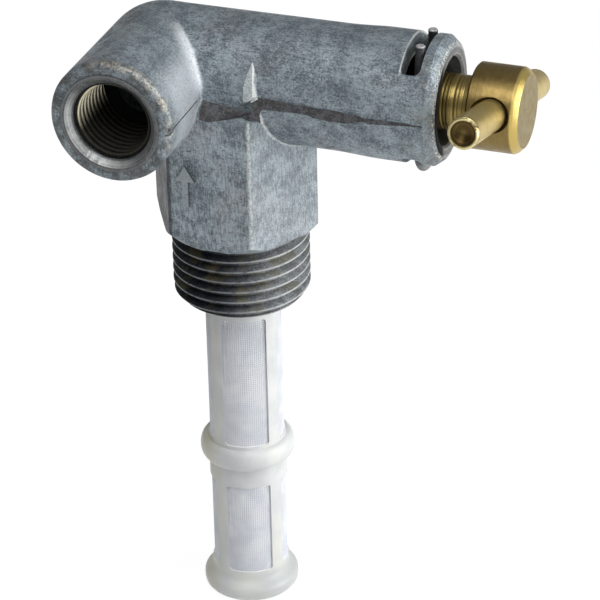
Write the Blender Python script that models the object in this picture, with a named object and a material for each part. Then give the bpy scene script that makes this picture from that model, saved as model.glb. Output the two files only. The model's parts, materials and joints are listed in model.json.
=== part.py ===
# Fuel tap: screw-down valve with a tank thread and strainer below and a threaded outlet on an elbow.
# Frame: origin on the strainer axis at the hex shoulder, +Z up the hex, barrel along +X, outlet facing -Y.
import bpy
import bmesh
from math import ceil, cos, pi, radians, sin, sqrt, tan
from mathutils import Matrix, Vector

MM = 0.001
INCH = 25.4 * MM
GAP = 0.3 * MM
OVER = 2.0 * MM
SIDES = 48
PIN_SIDES = 32
WIRE_SIDES = 16
BEND_STEPS = 8

# Tank thread and hex
THREAD_R = 7 / 16 * INCH
SPIGOT_LENGTH = INCH / 2
SPIGOT_BEVEL = 1.3 * MM
SPIGOT_END_R = THREAD_R - SPIGOT_BEVEL
SPIGOT_CHAMFER = 1.5 * MM
THREAD_PITCH = INCH / 14
THREAD_CREST_R = THREAD_R - 0.05 * MM
THREAD_ROOT_R = THREAD_CREST_R - 1.1 * MM
THREAD_CREST_HALF = 0.12 * MM
THREAD_COLLAR = 0.9 * MM
THREAD_SIDES = 24
THREAD_START_Z = -1.77 * MM
HEX_ACROSS_FLATS = 15 / 16 * INCH
HEX_OFFSET = -0.54 * MM
SEAT_WIDTH = 0.9 * MM
HEX_SEAT_R = THREAD_R + SEAT_WIDTH
HEX_CORNER_R = HEX_ACROSS_FLATS / 2 / cos(pi / 6)

# Valve barrel, along X
BARREL_Z = 25.6 * MM
BARREL_R = 9.85 * MM
BARREL_MOUTH_R = 10.15 * MM
MOUTH_X = 35.0 * MM
MOUTH_LAND = 10.0 * MM
FLARE_LENGTH = 7.0 * MM
FLARE_END_X = MOUTH_X - MOUTH_LAND
FLARE_START_X = FLARE_END_X - FLARE_LENGTH
MOUTH_BEVEL = 1.65 * MM
MOUTH_FACE_R = BARREL_MOUTH_R - MOUTH_BEVEL
MOUTH_CHAMFER = 1.4 * MM
MOUTH_EASE = 0.3 * MM
MOUTH_BORE_R = 6.9 * MM
MOUTH_BREAK = 0.35 * MM

# Elbow and outlet port, along -Y
PORT_X = -11.86 * MM
PORT_R = 9.9 * MM
PORT_FACE_Y = -22.73 * MM
PORT_BEVEL = 1.3 * MM
PORT_FACE_R = PORT_R - PORT_BEVEL
PORT_CHAMFER = 0.7 * MM
PORT_EASE = 0.2 * MM
PORT_TIP = 0.9 * MM
PORT_STEP = 0.55 * MM
PORT_STEP_R = PORT_FACE_R - PORT_STEP
PORT_STEP_DEPTH = 0.2 * MM
PORT_THREAD_R = INCH / 4
PORT_THREAD_PITCH = INCH / 20
PORT_MINOR_R = PORT_THREAD_R - 0.5413 * PORT_THREAD_PITCH
PORT_SINK = 0.4 * MM
PORT_SINK_R = PORT_THREAD_R + PORT_SINK
PORT_THREAD_DEPTH = 12.5 * MM
PORT_PASSAGE_R = 4.2 * MM
CREASE_R_SIDE = 0.6 * MM
CREASE_R_TOP = 3.0 * MM

# Where the hex dies into the barrel at the parting line: a sloping ledge, a pointed rib and trimmed flats
LEDGE_DROP = 3.0 * MM
LEDGE_EDGE = 0.4 * MM
LEDGE_LOW_Z = BARREL_Z - LEDGE_DROP
LEDGE_HIGH_Z = BARREL_Z - LEDGE_EDGE
RIB_RISE = 6.2 * MM
RIB_HALF = 1.25 * MM
TRIM_DEPTH = 0.14 * MM
TRIM_RISE = 0.1 * MM
TRIM_MOUTH_GAP = 3.5 * MM

# Clip slot and clip
SLOT_WIDTH = 3.1 * MM
MOUTH_RING = 2.8 * MM
SLOT_END_X = MOUTH_X - MOUTH_RING
SLOT_HALF_Y = 7.3 * MM
WIRE_R = 0.75 * MM
CLIP_X = SLOT_END_X - GAP - WIRE_R
CLIP_LEG_Y = 4.1 * MM
CLIP_PROUD = 1.8 * MM
CLIP_BEND_Z = BARREL_Z - BARREL_MOUTH_R - CLIP_PROUD + CLIP_LEG_Y + WIRE_R
CLIP_RISE = 0.05 * MM
CLIP_TOP_Z = BARREL_Z + BARREL_MOUTH_R + CLIP_RISE

# Spindle, with its places along X worked out from the mouth and the clip
TRAVEL = 4.5 * MM
STEM_R = 4.35 * MM
STEM_SHOWN = 4.0 * MM
NECK_R = CLIP_LEG_Y - WIRE_R - GAP
HEAD_X = MOUTH_X + STEM_SHOWN
HEAD_LENGTH = 8.1 * MM
HEAD_R = 6.7 * MM
HEAD_BEVEL = 1.2 * MM
HEAD_CROWN = 1.0 * MM
HEAD_FACE_R = HEAD_R - HEAD_CROWN
EDGE_EASE = 0.3 * MM
NECK_FRONT_X = CLIP_X + WIRE_R + GAP
NECK_BACK_X = CLIP_X - WIRE_R - GAP - TRAVEL
PLUG_BORE_R = 6.4 * MM
PLUG_R = PLUG_BORE_R - GAP
PLUG_LENGTH = 9.5 * MM
PLUG_BACK_X = NECK_BACK_X - PLUG_LENGTH
SEAL_BORE_R = 6.0 * MM
LAND_R = SEAL_BORE_R - GAP
LAND_LENGTH = 8.2 * MM
LAND_BACK_X = PLUG_BACK_X - LAND_LENGTH
NOSE_R = 3.9 * MM
RING_WIRE_R = 0.55 * MM
RING_CLEARANCE = 0.25 * MM
RING_R = SEAL_BORE_R - RING_CLEARANCE - RING_WIRE_R
RING_INNER_X = LAND_BACK_X + 0.3 * LAND_LENGTH
RING_OUTER_X = LAND_BACK_X + 0.7 * LAND_LENGTH
GROOVE_R = RING_R - RING_WIRE_R - GAP
GROOVE_HALF = RING_WIRE_R + GAP
INLET_R = 4.6 * MM
SEAT_LIP = 0.6 * MM
SEAT_X = -INLET_R - SEAT_LIP
SEAT_HOLE_R = 2.4 * MM
SEAL_R = 3.2 * MM
SEAL_THICK = 2.0 * MM
SEAL_PROUD = 0.7 * MM
SEAL_FACE_X = SEAT_X + GAP
NOSE_X = SEAL_FACE_X + SEAL_PROUD

# T-bar
BAR_INSET = 3.84 * MM
BAR_X = HEAD_X + BAR_INSET
BAR_R = 2.45 * MM
BAR_LENGTH = 41.0 * MM
BAR_TILT = radians(-14.2)
BAR_RIM = 0.5 * MM
BAR_DISH_R = BAR_R - BAR_RIM
BAR_DISH_DEPTH = 0.45 * MM
BAR_HOLE_SINK = 0.65 * MM

# Strainer
TUBE_R_TOP = 6.5 * MM
TUBE_TAPER = 0.125 * MM
TUBE_R_LOW = TUBE_R_TOP - TUBE_TAPER
TUBE_WALL = 0.6 * MM
TUBE_TOP_Z = -1.2 * MM
BEAD_Z = -41.7 * MM
BEAD_HALF = 1.9 * MM
BEAD_R = 7.8 * MM
FOOT_Z = -69.3 * MM
FOOT_R = 7.9 * MM
FOOT_HEIGHT = 2.4 * MM
FOOT_RIM_Z = FOOT_Z + FOOT_HEIGHT
FLARE_HEIGHT = 1.8 * MM
FOOT_FLARE_Z = FOOT_RIM_Z + FLARE_HEIGHT
FOOT_FLOOR = 1.4 * MM
WINDOWS = 4
WINDOW_ANGLE = radians(72.0)
FIRST_WINDOW_ANGLE = radians(-70.0)
WINDOW_TOP_Z = -15.5 * MM
WINDOW_MARGIN = 0.6 * MM
GAUZE_THICK = 0.25 * MM
GAUZE_LAP = 1.5 * MM


def material(name, colour, metallic, roughness, alpha=1.0):
    mat = bpy.data.materials.new(name)
    mat.use_nodes = True
    shader = mat.node_tree.nodes["Principled BSDF"]
    shader.inputs["Base Color"].default_value = (*colour, 1.0)
    shader.inputs["Metallic"].default_value = metallic
    shader.inputs["Roughness"].default_value = roughness
    shader.inputs["Alpha"].default_value = alpha
    mat.diffuse_color = (*colour, 1.0)
    return mat


def finish_mesh(name, bm, mat, loc=(0, 0, 0), rot=(0, 0, 0)):
    bmesh.ops.recalc_face_normals(bm, faces=bm.faces)
    mesh = bpy.data.meshes.new(name)
    bm.to_mesh(mesh)
    bm.free()
    mesh.shade_smooth()
    mesh.set_sharp_from_angle(angle=radians(32.0))
    obj = bpy.data.objects.new(name, mesh)
    obj.location = loc
    obj.rotation_euler = rot
    bpy.context.scene.collection.objects.link(obj)
    if mat is None:
        obj.hide_render = True
        obj.display_type = "WIRE"
    else:
        mesh.materials.append(mat)
    return obj


def turned(name, profile, axis, mat, loc=(0, 0, 0), rot=(0, 0, 0), closed=False, sides=SIDES, phase=0.0):
    # profile: (radius, station) pairs from one end to the other, turned about the given axis
    axis = Vector(axis).normalized()
    side = Vector((0, 0, 1)) if abs(axis.z) < 0.5 else Vector((1, 0, 0))
    side = Matrix.Rotation(phase, 3, axis) @ side
    bm = bmesh.new()
    verts = [bm.verts.new(side * r + axis * s) for r, s in profile]
    pairs = list(zip(verts, verts[1:]))
    if closed:
        pairs.append((verts[-1], verts[0]))
    edges = [bm.edges.new(pair) for pair in pairs]
    bmesh.ops.spin(bm, geom=verts + edges, cent=(0, 0, 0), axis=axis, angle=2 * pi, steps=sides, use_merge=True)
    bmesh.ops.remove_doubles(bm, verts=bm.verts, dist=0.001 * MM)
    # A flat end is one face, without spokes to its middle.
    poles = [v for v in bm.verts if len(v.link_edges) == sides]
    for pole in poles:
        if max(abs((e.other_vert(pole).co - pole.co).dot(axis)) for e in pole.link_edges) < 0.001 * MM:
            bmesh.ops.dissolve_verts(bm, verts=[pole])
    return finish_mesh(name, bm, mat, loc, rot)


def block(name, low, high, mat=None, loc=(0, 0, 0), rot=(0, 0, 0)):
    bm = bmesh.new()
    bmesh.ops.create_cube(bm, size=1.0)
    size = [b - a for a, b in zip(low, high)]
    mid = [(a + b) / 2 for a, b in zip(low, high)]
    bmesh.ops.scale(bm, vec=size, verts=bm.verts)
    bmesh.ops.translate(bm, vec=mid, verts=bm.verts)
    return finish_mesh(name, bm, mat, loc, rot)


def boolean(obj, other, operation="DIFFERENCE", solver="EXACT"):
    mod = obj.modifiers.new(other.name, "BOOLEAN")
    mod.operation = operation
    mod.solver = solver
    mod.object = other
    return mod


def elbow_skin(mat):
    # Rows run from the bottom to the top of the bent tube, columns from the mouth round the bend to the port.
    rows = SIDES // 2
    barrel = [(MOUTH_X, MOUTH_FACE_R), (MOUTH_X - MOUTH_EASE, MOUTH_FACE_R + 2.5 * MOUTH_EASE)]
    barrel += [(MOUTH_X - MOUTH_CHAMFER, BARREL_MOUTH_R), (FLARE_END_X, BARREL_MOUTH_R)]
    barrel += [(FLARE_START_X, BARREL_R)]
    port = [(PORT_FACE_Y + 1.6 * PORT_CHAMFER, PORT_R), (PORT_FACE_Y + 0.7 * PORT_CHAMFER, PORT_R - PORT_EASE)]
    step_y = PORT_FACE_Y + PORT_STEP_DEPTH
    port += [(step_y, PORT_FACE_R), (step_y, PORT_STEP_R), (PORT_FACE_Y, PORT_STEP_R)]
    bend = BEND_STEPS
    fillet = BEND_STEPS // 2
    nb = len(barrel)
    bm = bmesh.new()

    def row_points(j):
        up = -pi / 2 + pi * j / rows
        c = 0.0 if j in (0, rows) else cos(up)
        s = sin(up)
        outer = [Vector((x, r * c, BARREL_Z + r * s)) for x, r in barrel]
        outer.append(Vector((PORT_X + CREASE_R_TOP, PORT_R * c, BARREL_Z + PORT_R * s)))
        for k in range(bend + 1):
            t = 0.5 * pi * k / bend
            outer.append(Vector((PORT_X - PORT_R * c * sin(t), PORT_R * c * cos(t), BARREL_Z + PORT_R * s)))
        outer.append(Vector((PORT_X - PORT_R * c, -CREASE_R_TOP, BARREL_Z + PORT_R * s)))
        outer += [Vector((PORT_X - r * c, y, BARREL_Z + r * s)) for y, r in port]
        inner = [Vector((x, -r * c, BARREL_Z + r * s)) for x, r in barrel]
        crease = CREASE_R_SIDE + (CREASE_R_TOP - CREASE_R_SIDE) * s * s
        cx = PORT_X + PORT_R * c + crease
        cy = -PORT_R * c - crease
        for k in range(fillet + 1):
            t = 0.5 * pi * k / fillet
            inner.append(Vector((cx - crease * sin(t), cy + crease * cos(t), BARREL_Z + PORT_R * s)))
        inner += [Vector((PORT_X + r * c, y, BARREL_Z + r * s)) for y, r in port]
        return outer, inner

    outer_rows = []
    inner_rows = []
    for j in range(rows + 1):
        outer, inner = row_points(j)
        pole = j in (0, rows)
        ov = []
        for k, p in enumerate(outer):
            bent = nb + 1 < k <= nb + 1 + bend
            ov.append(ov[-1] if pole and bent else bm.verts.new(p))
        iv = []
        for k, p in enumerate(inner):
            if pole and k <= nb:
                iv.append(ov[k])
            elif pole and k >= nb + fillet:
                iv.append(ov[k - len(inner)])
            else:
                iv.append(bm.verts.new(p))
        if pole:
            # The web between the outer line and the fillet is flat at the top and the bottom of the bend.
            bm.faces.new([ov[nb + 1]] + iv[nb:nb + fillet + 1])
        outer_rows.append(ov)
        inner_rows.append(iv)
    for rows_list in (outer_rows, inner_rows):
        for a, b in zip(rows_list, rows_list[1:]):
            for k in range(len(a) - 1):
                quad = []
                for v in (a[k], a[k + 1], b[k + 1], b[k]):
                    if v not in quad:
                        quad.append(v)
                if len(quad) > 2:
                    bm.faces.new(quad)
    for k in (0, -1):
        ring = [row[k] for row in outer_rows] + [row[k] for row in reversed(inner_rows[1:-1])]
        bm.faces.new(ring)
    return finish_mesh("valve_body", bm, mat)


def hex_block():
    # Six-sided prism whose front and back edges slope where they die into the barrel
    bm = bmesh.new()
    inner_y = 0.78 * BARREL_R
    inner_z = BARREL_Z + 0.1 * BARREL_R
    side_z = BARREL_Z - 0.4 * BARREL_R
    low = []
    for k in range(6):
        a = pi / 3 * k
        low.append(bm.verts.new((HEX_OFFSET + HEX_CORNER_R * cos(a), HEX_CORNER_R * sin(a), 0.0)))
    heights = (side_z, LEDGE_HIGH_Z, LEDGE_LOW_Z, side_z, LEDGE_LOW_Z, LEDGE_HIGH_Z)
    high = [bm.verts.new((v.co.x, v.co.y, heights[k])) for k, v in enumerate(low)]
    crown = {}
    for k in (1, 2, 4, 5):
        v = low[k].co
        crown[k] = bm.verts.new((v.x * 0.8, inner_y * (1 if v.y > 0 else -1), inner_z))
    bm.faces.new(list(reversed(low)))
    for k in range(6):
        n = (k + 1) % 6
        bm.faces.new((low[k], low[n], high[n], high[k]))
    for a, b in ((1, 2), (4, 5)):
        bm.faces.new((high[a], high[b], crown[b], crown[a]))
    bm.faces.new((high[0], high[1], crown[1]))
    bm.faces.new((high[0], crown[1], crown[5]))
    bm.faces.new((high[0], crown[5], high[5]))
    bm.faces.new((high[3], crown[2], high[2]))
    bm.faces.new((high[3], crown[4], crown[2]))
    bm.faces.new((high[3], high[4], crown[4]))
    bm.faces.new((crown[1], crown[2], crown[4], crown[5]))
    bmesh.ops.triangulate(bm, faces=[f for f in bm.faces if len(f.verts) == 4])
    return finish_mesh("hex_block", bm, None)


def corner_rib(name, side):
    # Pointed rib that runs up the barrel from the hex's +X corners
    cx = HEX_OFFSET + HEX_CORNER_R * cos(pi / 3)
    cy = HEX_CORNER_R * sin(pi / 3)
    tip_y = sqrt(BARREL_R ** 2 - RIB_RISE ** 2)
    root_y = 0.93 * BARREL_R
    bm = bmesh.new()
    base_z = LEDGE_HIGH_Z - RIB_HALF
    points = [(cx - RIB_HALF, root_y, base_z), (cx + RIB_HALF, root_y, base_z)]
    points += [(cx - 0.1 * RIB_HALF, cy - 0.4 * RIB_HALF, base_z), (cx, 0.68 * BARREL_R, base_z)]
    points += [(cx - 0.25 * RIB_HALF, tip_y, BARREL_Z + RIB_RISE)]
    v = [bm.verts.new((x, y * side, z)) for x, y, z in points]
    for f in ((0, 2, 1), (0, 1, 3), (0, 4, 2), (2, 4, 1), (0, 3, 4), (1, 4, 3)):
        bm.faces.new([v[k] for k in f])
    return finish_mesh(name, bm, None)


def trim_cut(name, side):
    # Flat ground along the parting line, from the hex corner towards the mouth, rising and narrowing on its way
    length = MOUTH_X - TRIM_MOUTH_GAP
    start = HEX_OFFSET + HEX_CORNER_R * cos(pi / 3) + RIB_HALF
    near = BARREL_R - TRIM_DEPTH
    far = BARREL_MOUTH_R - 0.3 * TRIM_DEPTH
    bm = bmesh.new()
    outline = [(start, near), (FLARE_START_X, BARREL_R - 0.5 * TRIM_DEPTH), (length, far)]
    reach = BARREL_MOUTH_R + OVER
    half = 0.25 * BARREL_R
    rows = []
    for z in (BARREL_Z - half + TRIM_RISE, BARREL_Z + half + TRIM_RISE):
        inner = [bm.verts.new((x, side * y, z)) for x, y in outline]
        outer = [bm.verts.new((x, side * reach, z)) for x, y in outline]
        rows.append((inner, outer))
    low, high = rows
    for k in range(len(outline) - 1):
        bm.faces.new((low[0][k], low[0][k + 1], high[0][k + 1], high[0][k]))
        bm.faces.new((low[1][k], high[1][k], high[1][k + 1], low[1][k + 1]))
        for inner, outer in rows:
            bm.faces.new((inner[k], inner[k + 1], outer[k + 1], outer[k]))
    for k in (0, -1):
        bm.faces.new((low[0][k], high[0][k], high[1][k], low[1][k]))
    return finish_mesh(name, bm, None)


def hexagon_with_chamfer():
    hexagon = hex_block()
    reach = HEX_CORNER_R
    profile = [(0, -OVER), (HEX_SEAT_R - OVER, -OVER), (HEX_SEAT_R + reach, reach)]
    profile += [(HEX_SEAT_R + reach, 2 * BARREL_Z), (0, 2 * BARREL_Z)]
    cone = turned("hex_chamfer", profile, (0, 0, 1), None)
    boolean(hexagon, cone, "INTERSECT")
    return hexagon


def tank_thread():
    # One skin wound up the axis: each turn's section is a pitch higher where the turn closes on itself.
    flank = THREAD_CREST_HALF + (THREAD_CREST_R - THREAD_ROOT_R) * tan(pi / 6)
    section = [(THREAD_ROOT_R, -flank), (THREAD_CREST_R, -THREAD_CREST_HALF)]
    section += [(THREAD_CREST_R, THREAD_CREST_HALF), (THREAD_ROOT_R, flank)]
    below = ceil((SPIGOT_LENGTH + THREAD_START_Z) / THREAD_PITCH) + 1
    grid = []
    bm = bmesh.new()
    for k in range(THREAD_SIDES):
        a = 2 * pi * k / THREAD_SIDES
        column = []
        for turn in range(-below, 3):
            base = THREAD_START_Z + (turn + k / THREAD_SIDES) * THREAD_PITCH
            column += [bm.verts.new((r * cos(a), r * sin(a), base + h)) for r, h in section]
        grid.append(column)
    # The last column meets the first one turn up.
    shift = len(section)
    grid.append(grid[0][shift:])
    for a, b in zip(grid, grid[1:]):
        for k in range(min(len(a), len(b)) - 1):
            bm.faces.new((a[k], b[k], b[k + 1], a[k + 1]))
    last = grid[-2]
    for ring in (
        [column[0] for column in grid] + grid[0][shift - 1:0:-1],
        [column[-1] for column in grid[:-1]] + last[-2:-2 - shift:-1],
    ):
        middle = bm.verts.new((0, 0, sum(v.co.z for v in ring) / len(ring)))
        for a, b in zip(ring, ring[1:] + ring[:1]):
            bm.faces.new((a, b, middle))
    return finish_mesh("tank_thread", bm, None)


def spigot():
    # The thread's skin cut to length, under a plain collar that meets the hex's seat
    thread = tank_thread()
    reach = THREAD_R + OVER
    profile = [(0, SPIGOT_LENGTH / 2), (reach, SPIGOT_LENGTH / 2)]
    profile += [(reach, SPIGOT_CHAMFER + OVER - SPIGOT_LENGTH), (SPIGOT_END_R, -SPIGOT_LENGTH), (0, -SPIGOT_LENGTH)]
    boolean(thread, turned("thread_length", profile, (0, 0, 1), None), "INTERSECT")
    neck = THREAD_ROOT_R - GAP
    profile = [(0, BARREL_R), (THREAD_R, BARREL_R), (THREAD_R, -THREAD_COLLAR)]
    profile += [(neck, neck - THREAD_R - THREAD_COLLAR), (0, neck - THREAD_R - THREAD_COLLAR)]
    boolean(thread, turned("thread_collar", profile, (0, 0, 1), None), "UNION")
    return thread


def bores():
    # One hollow: inlet up from the strainer, valve bore from the mouth, seat hole and outlet port
    step = PLUG_BORE_R - SEAL_BORE_R
    seal_end = PLUG_BACK_X - GAP
    wide_x = NECK_BACK_X - TRAVEL / 4
    profile = [(0, SEAT_X), (SEAL_BORE_R, SEAT_X), (SEAL_BORE_R, seal_end - step), (PLUG_BORE_R, seal_end)]
    profile += [(PLUG_BORE_R, wide_x), (MOUTH_BORE_R, wide_x + MOUTH_BORE_R - PLUG_BORE_R)]
    profile += [(MOUTH_BORE_R, MOUTH_X - MOUTH_BREAK), (MOUTH_BORE_R + MOUTH_BREAK + OVER, MOUTH_X + OVER)]
    profile += [(0, MOUTH_X + OVER)]
    hollow = turned("valve_bore", profile, (1, 0, 0), None, loc=(0, 0, BARREL_Z))

    inlet_top = BARREL_Z - 0.25 * INLET_R
    socket_r = TUBE_R_TOP + GAP
    socket_z = TUBE_TOP_Z + GAP
    profile = [(0, inlet_top), (INLET_R, inlet_top), (INLET_R, socket_z), (socket_r, socket_z)]
    profile += [(socket_r, -SPIGOT_LENGTH - OVER), (0, -SPIGOT_LENGTH - OVER)]
    boolean(hollow, turned("inlet_bore", profile, (0, 0, 1), None), "UNION")

    seat_end = PORT_X + 0.5 * PORT_PASSAGE_R
    profile = [(0, seat_end), (SEAT_HOLE_R, seat_end), (SEAT_HOLE_R, SEAT_X + OVER), (0, SEAT_X + OVER)]
    boolean(hollow, turned("seat_hole", profile, (1, 0, 0), None, loc=(0, 0, BARREL_Z)), "UNION")

    face = -PORT_FACE_Y
    drill = face - PORT_THREAD_DEPTH
    sink = PORT_SINK_R - PORT_MINOR_R
    profile = [(0, -PORT_PASSAGE_R), (PORT_PASSAGE_R, -PORT_PASSAGE_R), (PORT_PASSAGE_R, drill - PORT_TIP)]
    profile += [(PORT_MINOR_R, drill), (PORT_MINOR_R, face - sink), (PORT_SINK_R + OVER, face + OVER)]
    profile += [(0, face + OVER)]
    boolean(hollow, turned("port_bore", profile, (0, -1, 0), None, loc=(PORT_X, 0, BARREL_Z)), "UNION")
    return hollow


def valve_body(mat):
    body = elbow_skin(mat)
    boolean(body, hexagon_with_chamfer(), "UNION")
    boolean(body, corner_rib("rib_front", -1), "UNION")
    boolean(body, corner_rib("rib_back", 1), "UNION")
    boolean(body, spigot(), "UNION")
    boolean(body, bores())
    low = (SLOT_END_X - SLOT_WIDTH, -SLOT_HALF_Y, BARREL_Z - 1.6 * BARREL_R)
    high = (SLOT_END_X, SLOT_HALF_Y, BARREL_Z + 1.6 * BARREL_R)
    boolean(body, block("clip_slot", low, high))
    boolean(body, trim_cut("trim_front", -1))
    boolean(body, trim_cut("trim_back", 1))
    return body


def spindle(mat):
    cup_r = SEAL_R + GAP
    cup_x = SEAL_FACE_X + SEAL_THICK + GAP
    face_x = HEAD_X + HEAD_LENGTH
    ease = EDGE_EASE
    profile = [(0, face_x), (HEAD_FACE_R, face_x), (HEAD_R - 0.2 * HEAD_BEVEL, face_x - 0.6 * HEAD_BEVEL)]
    profile += [(HEAD_R, face_x - HEAD_BEVEL), (HEAD_R, HEAD_X + ease), (HEAD_R - ease, HEAD_X)]
    profile += [(STEM_R, HEAD_X), (STEM_R, NECK_FRONT_X), (NECK_R, NECK_FRONT_X), (NECK_R, NECK_BACK_X)]
    profile += [(PLUG_R - 2 * ease, NECK_BACK_X), (PLUG_R, NECK_BACK_X - 2 * ease)]
    profile += [(PLUG_R, PLUG_BACK_X + ease), (LAND_R, PLUG_BACK_X)]
    for x in (RING_OUTER_X, RING_INNER_X):
        profile += [(LAND_R, x + GROOVE_HALF), (GROOVE_R, x + GROOVE_HALF)]
        profile += [(GROOVE_R, x - GROOVE_HALF), (LAND_R, x - GROOVE_HALF)]
    profile += [(LAND_R, LAND_BACK_X), (NOSE_R, LAND_BACK_X - (LAND_R - NOSE_R)), (NOSE_R, NOSE_X)]
    profile += [(cup_r, NOSE_X), (cup_r, cup_x), (0, cup_x)]
    profile = [(r, x - HEAD_X) for r, x in profile]
    obj = turned("spindle", profile, (1, 0, 0), mat, loc=(HEAD_X, 0, BARREL_Z))

    hole_r = BAR_R + GAP
    sink = HEAD_R - BAR_HOLE_SINK
    end = HEAD_R + OVER
    wide_r = hole_r + OVER
    profile = [(0, -end), (wide_r, -end), (hole_r, -sink), (hole_r, sink), (wide_r, end), (0, end)]
    hole = turned("bar_hole", profile, (0, 1, 0), None, (BAR_X, 0, BARREL_Z), (BAR_TILT, 0, 0), sides=PIN_SIDES)
    boolean(obj, hole)
    return obj


def t_bar(mat):
    end = BAR_LENGTH / 2
    edge = BAR_R - BAR_DISH_R
    half = [(0, end - BAR_DISH_DEPTH), (BAR_DISH_R, end), (BAR_R - 0.6 * edge, end), (BAR_R, end - 0.6 * edge)]
    profile = half + [(r, -s) for r, s in reversed(half)]
    return turned("t_bar", profile, (0, 1, 0), mat, (BAR_X, 0, BARREL_Z), (BAR_TILT, 0, 0), sides=PIN_SIDES)


def retaining_clip(mat):
    # Round wire carried down one leg, round the bend and up the other
    sides = WIRE_SIDES
    bends = 2 * BEND_STEPS
    path = [(CLIP_LEG_Y, CLIP_TOP_Z, 0.0)]
    for k in range(bends + 1):
        a = pi * k / bends
        path.append((CLIP_LEG_Y * cos(a), CLIP_BEND_Z - CLIP_LEG_Y * sin(a), a))
    path.append((-CLIP_LEG_Y, CLIP_TOP_Z, pi))
    bm = bmesh.new()
    rings = []
    for y, z, a in path:
        ring = []
        for k in range(sides):
            t = 2 * pi * k / sides
            out = WIRE_R * cos(t)
            ring.append(bm.verts.new((CLIP_X + WIRE_R * sin(t), y + out * cos(a), z - out * sin(a))))
        rings.append(ring)
    for a, b in zip(rings, rings[1:]):
        for k in range(sides):
            n = (k + 1) % sides
            bm.faces.new((a[k], a[n], b[n], b[k]))
    bm.faces.new(rings[0])
    bm.faces.new(rings[-1])
    return finish_mesh("retaining_clip", bm, mat)


def o_ring(name, x, mat):
    profile = []
    points = BEND_STEPS
    for k in range(points):
        a = 2 * pi * k / points
        profile.append((RING_R + RING_WIRE_R * cos(a), RING_WIRE_R * sin(a)))
    return turned(name, profile, (1, 0, 0), mat, loc=(x, 0, BARREL_Z), closed=True)


def nose_seal(mat):
    edge = 0.1 * SEAL_THICK
    profile = [(0, 0), (SEAL_R - edge, 0), (SEAL_R, edge), (SEAL_R, SEAL_THICK), (0, SEAL_THICK)]
    return turned("nose_seal", profile, (1, 0, 0), mat, loc=(SEAL_FACE_X, 0, BARREL_Z), sides=PIN_SIDES)


def tube_radius(z):
    part = (TUBE_TOP_Z - z) / (TUBE_TOP_Z - FOOT_FLARE_Z)
    return TUBE_R_TOP + (TUBE_R_LOW - TUBE_R_TOP) * min(part, 1.0)


def window_rows():
    # Upper windows end above the bead and lower ones run from below it to the foot's flare.
    upper = (BEAD_Z + BEAD_HALF + WINDOW_MARGIN, WINDOW_TOP_Z)
    lower = (FOOT_FLARE_Z + 2 * WINDOW_MARGIN, BEAD_Z - BEAD_HALF - 6 * WINDOW_MARGIN)
    return {"upper": upper, "lower": lower}


def strainer_frame(mat):
    top_r = tube_radius(TUBE_TOP_Z)
    ease = TUBE_WALL / 3
    outer = [(top_r - ease, TUBE_TOP_Z), (top_r, TUBE_TOP_Z - ease)]
    for k in range(BEND_STEPS + 1):
        a = pi * k / BEND_STEPS
        z = BEAD_Z + BEAD_HALF * cos(a)
        outer.append((tube_radius(z) + (BEAD_R - tube_radius(z)) * sin(a) ** 0.8, z))
    flare = FOOT_R - TUBE_R_LOW
    foot = FOOT_RIM_Z - FOOT_Z
    outer += [(TUBE_R_LOW, FOOT_FLARE_Z), (TUBE_R_LOW + 0.25 * flare, FOOT_FLARE_Z - 0.4 * flare)]
    outer += [(FOOT_R - 0.16 * flare, FOOT_RIM_Z + 0.16 * flare), (FOOT_R, FOOT_RIM_Z - 0.06 * foot)]
    outer += [(FOOT_R, FOOT_RIM_Z - 0.45 * foot), (FOOT_R - 0.1 * flare, FOOT_RIM_Z - 0.67 * foot)]
    outer += [(FOOT_R - 0.33 * flare, FOOT_RIM_Z - 0.83 * foot)]
    outer += [(FOOT_R - 0.72 * flare, FOOT_RIM_Z - 0.96 * foot)]
    outer += [(FOOT_R - 1.25 * flare, FOOT_Z), (0, FOOT_Z)]
    floor_z = FOOT_Z + FOOT_FLOOR
    profile = [(0, floor_z), (TUBE_R_LOW - TUBE_WALL, floor_z), (top_r - TUBE_WALL, TUBE_TOP_Z)] + outer
    obj = turned("strainer_frame", profile, (0, 0, 1), mat, phase=pi / SIDES)
    # Each cutter is a bar right through the tube, so it opens a window and the one across from it.
    half = (TUBE_R_TOP - 0.5 * TUBE_WALL) * sin(WINDOW_ANGLE / 2)
    reach = BEAD_R + OVER
    for row, (low, high) in window_rows().items():
        for k in range(WINDOWS // 2):
            turn = FIRST_WINDOW_ANGLE + 2 * pi * k / WINDOWS
            cut = block("window_%s_%d" % (row, k), (-reach, -half, low), (reach, half, high), rot=(0, 0, turn))
            boolean(obj, cut)
    return obj


def strainer_gauze(mat):
    r = TUBE_R_LOW - TUBE_WALL - GAP
    rows = window_rows()
    top = rows["upper"][1] + GAUZE_LAP
    low = rows["lower"][0] - GAUZE_LAP
    profile = [(r, top), (r, low), (r - GAUZE_THICK, low), (r - GAUZE_THICK, top)]
    return turned("strainer_gauze", profile, (0, 0, 1), mat, closed=True)


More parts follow.
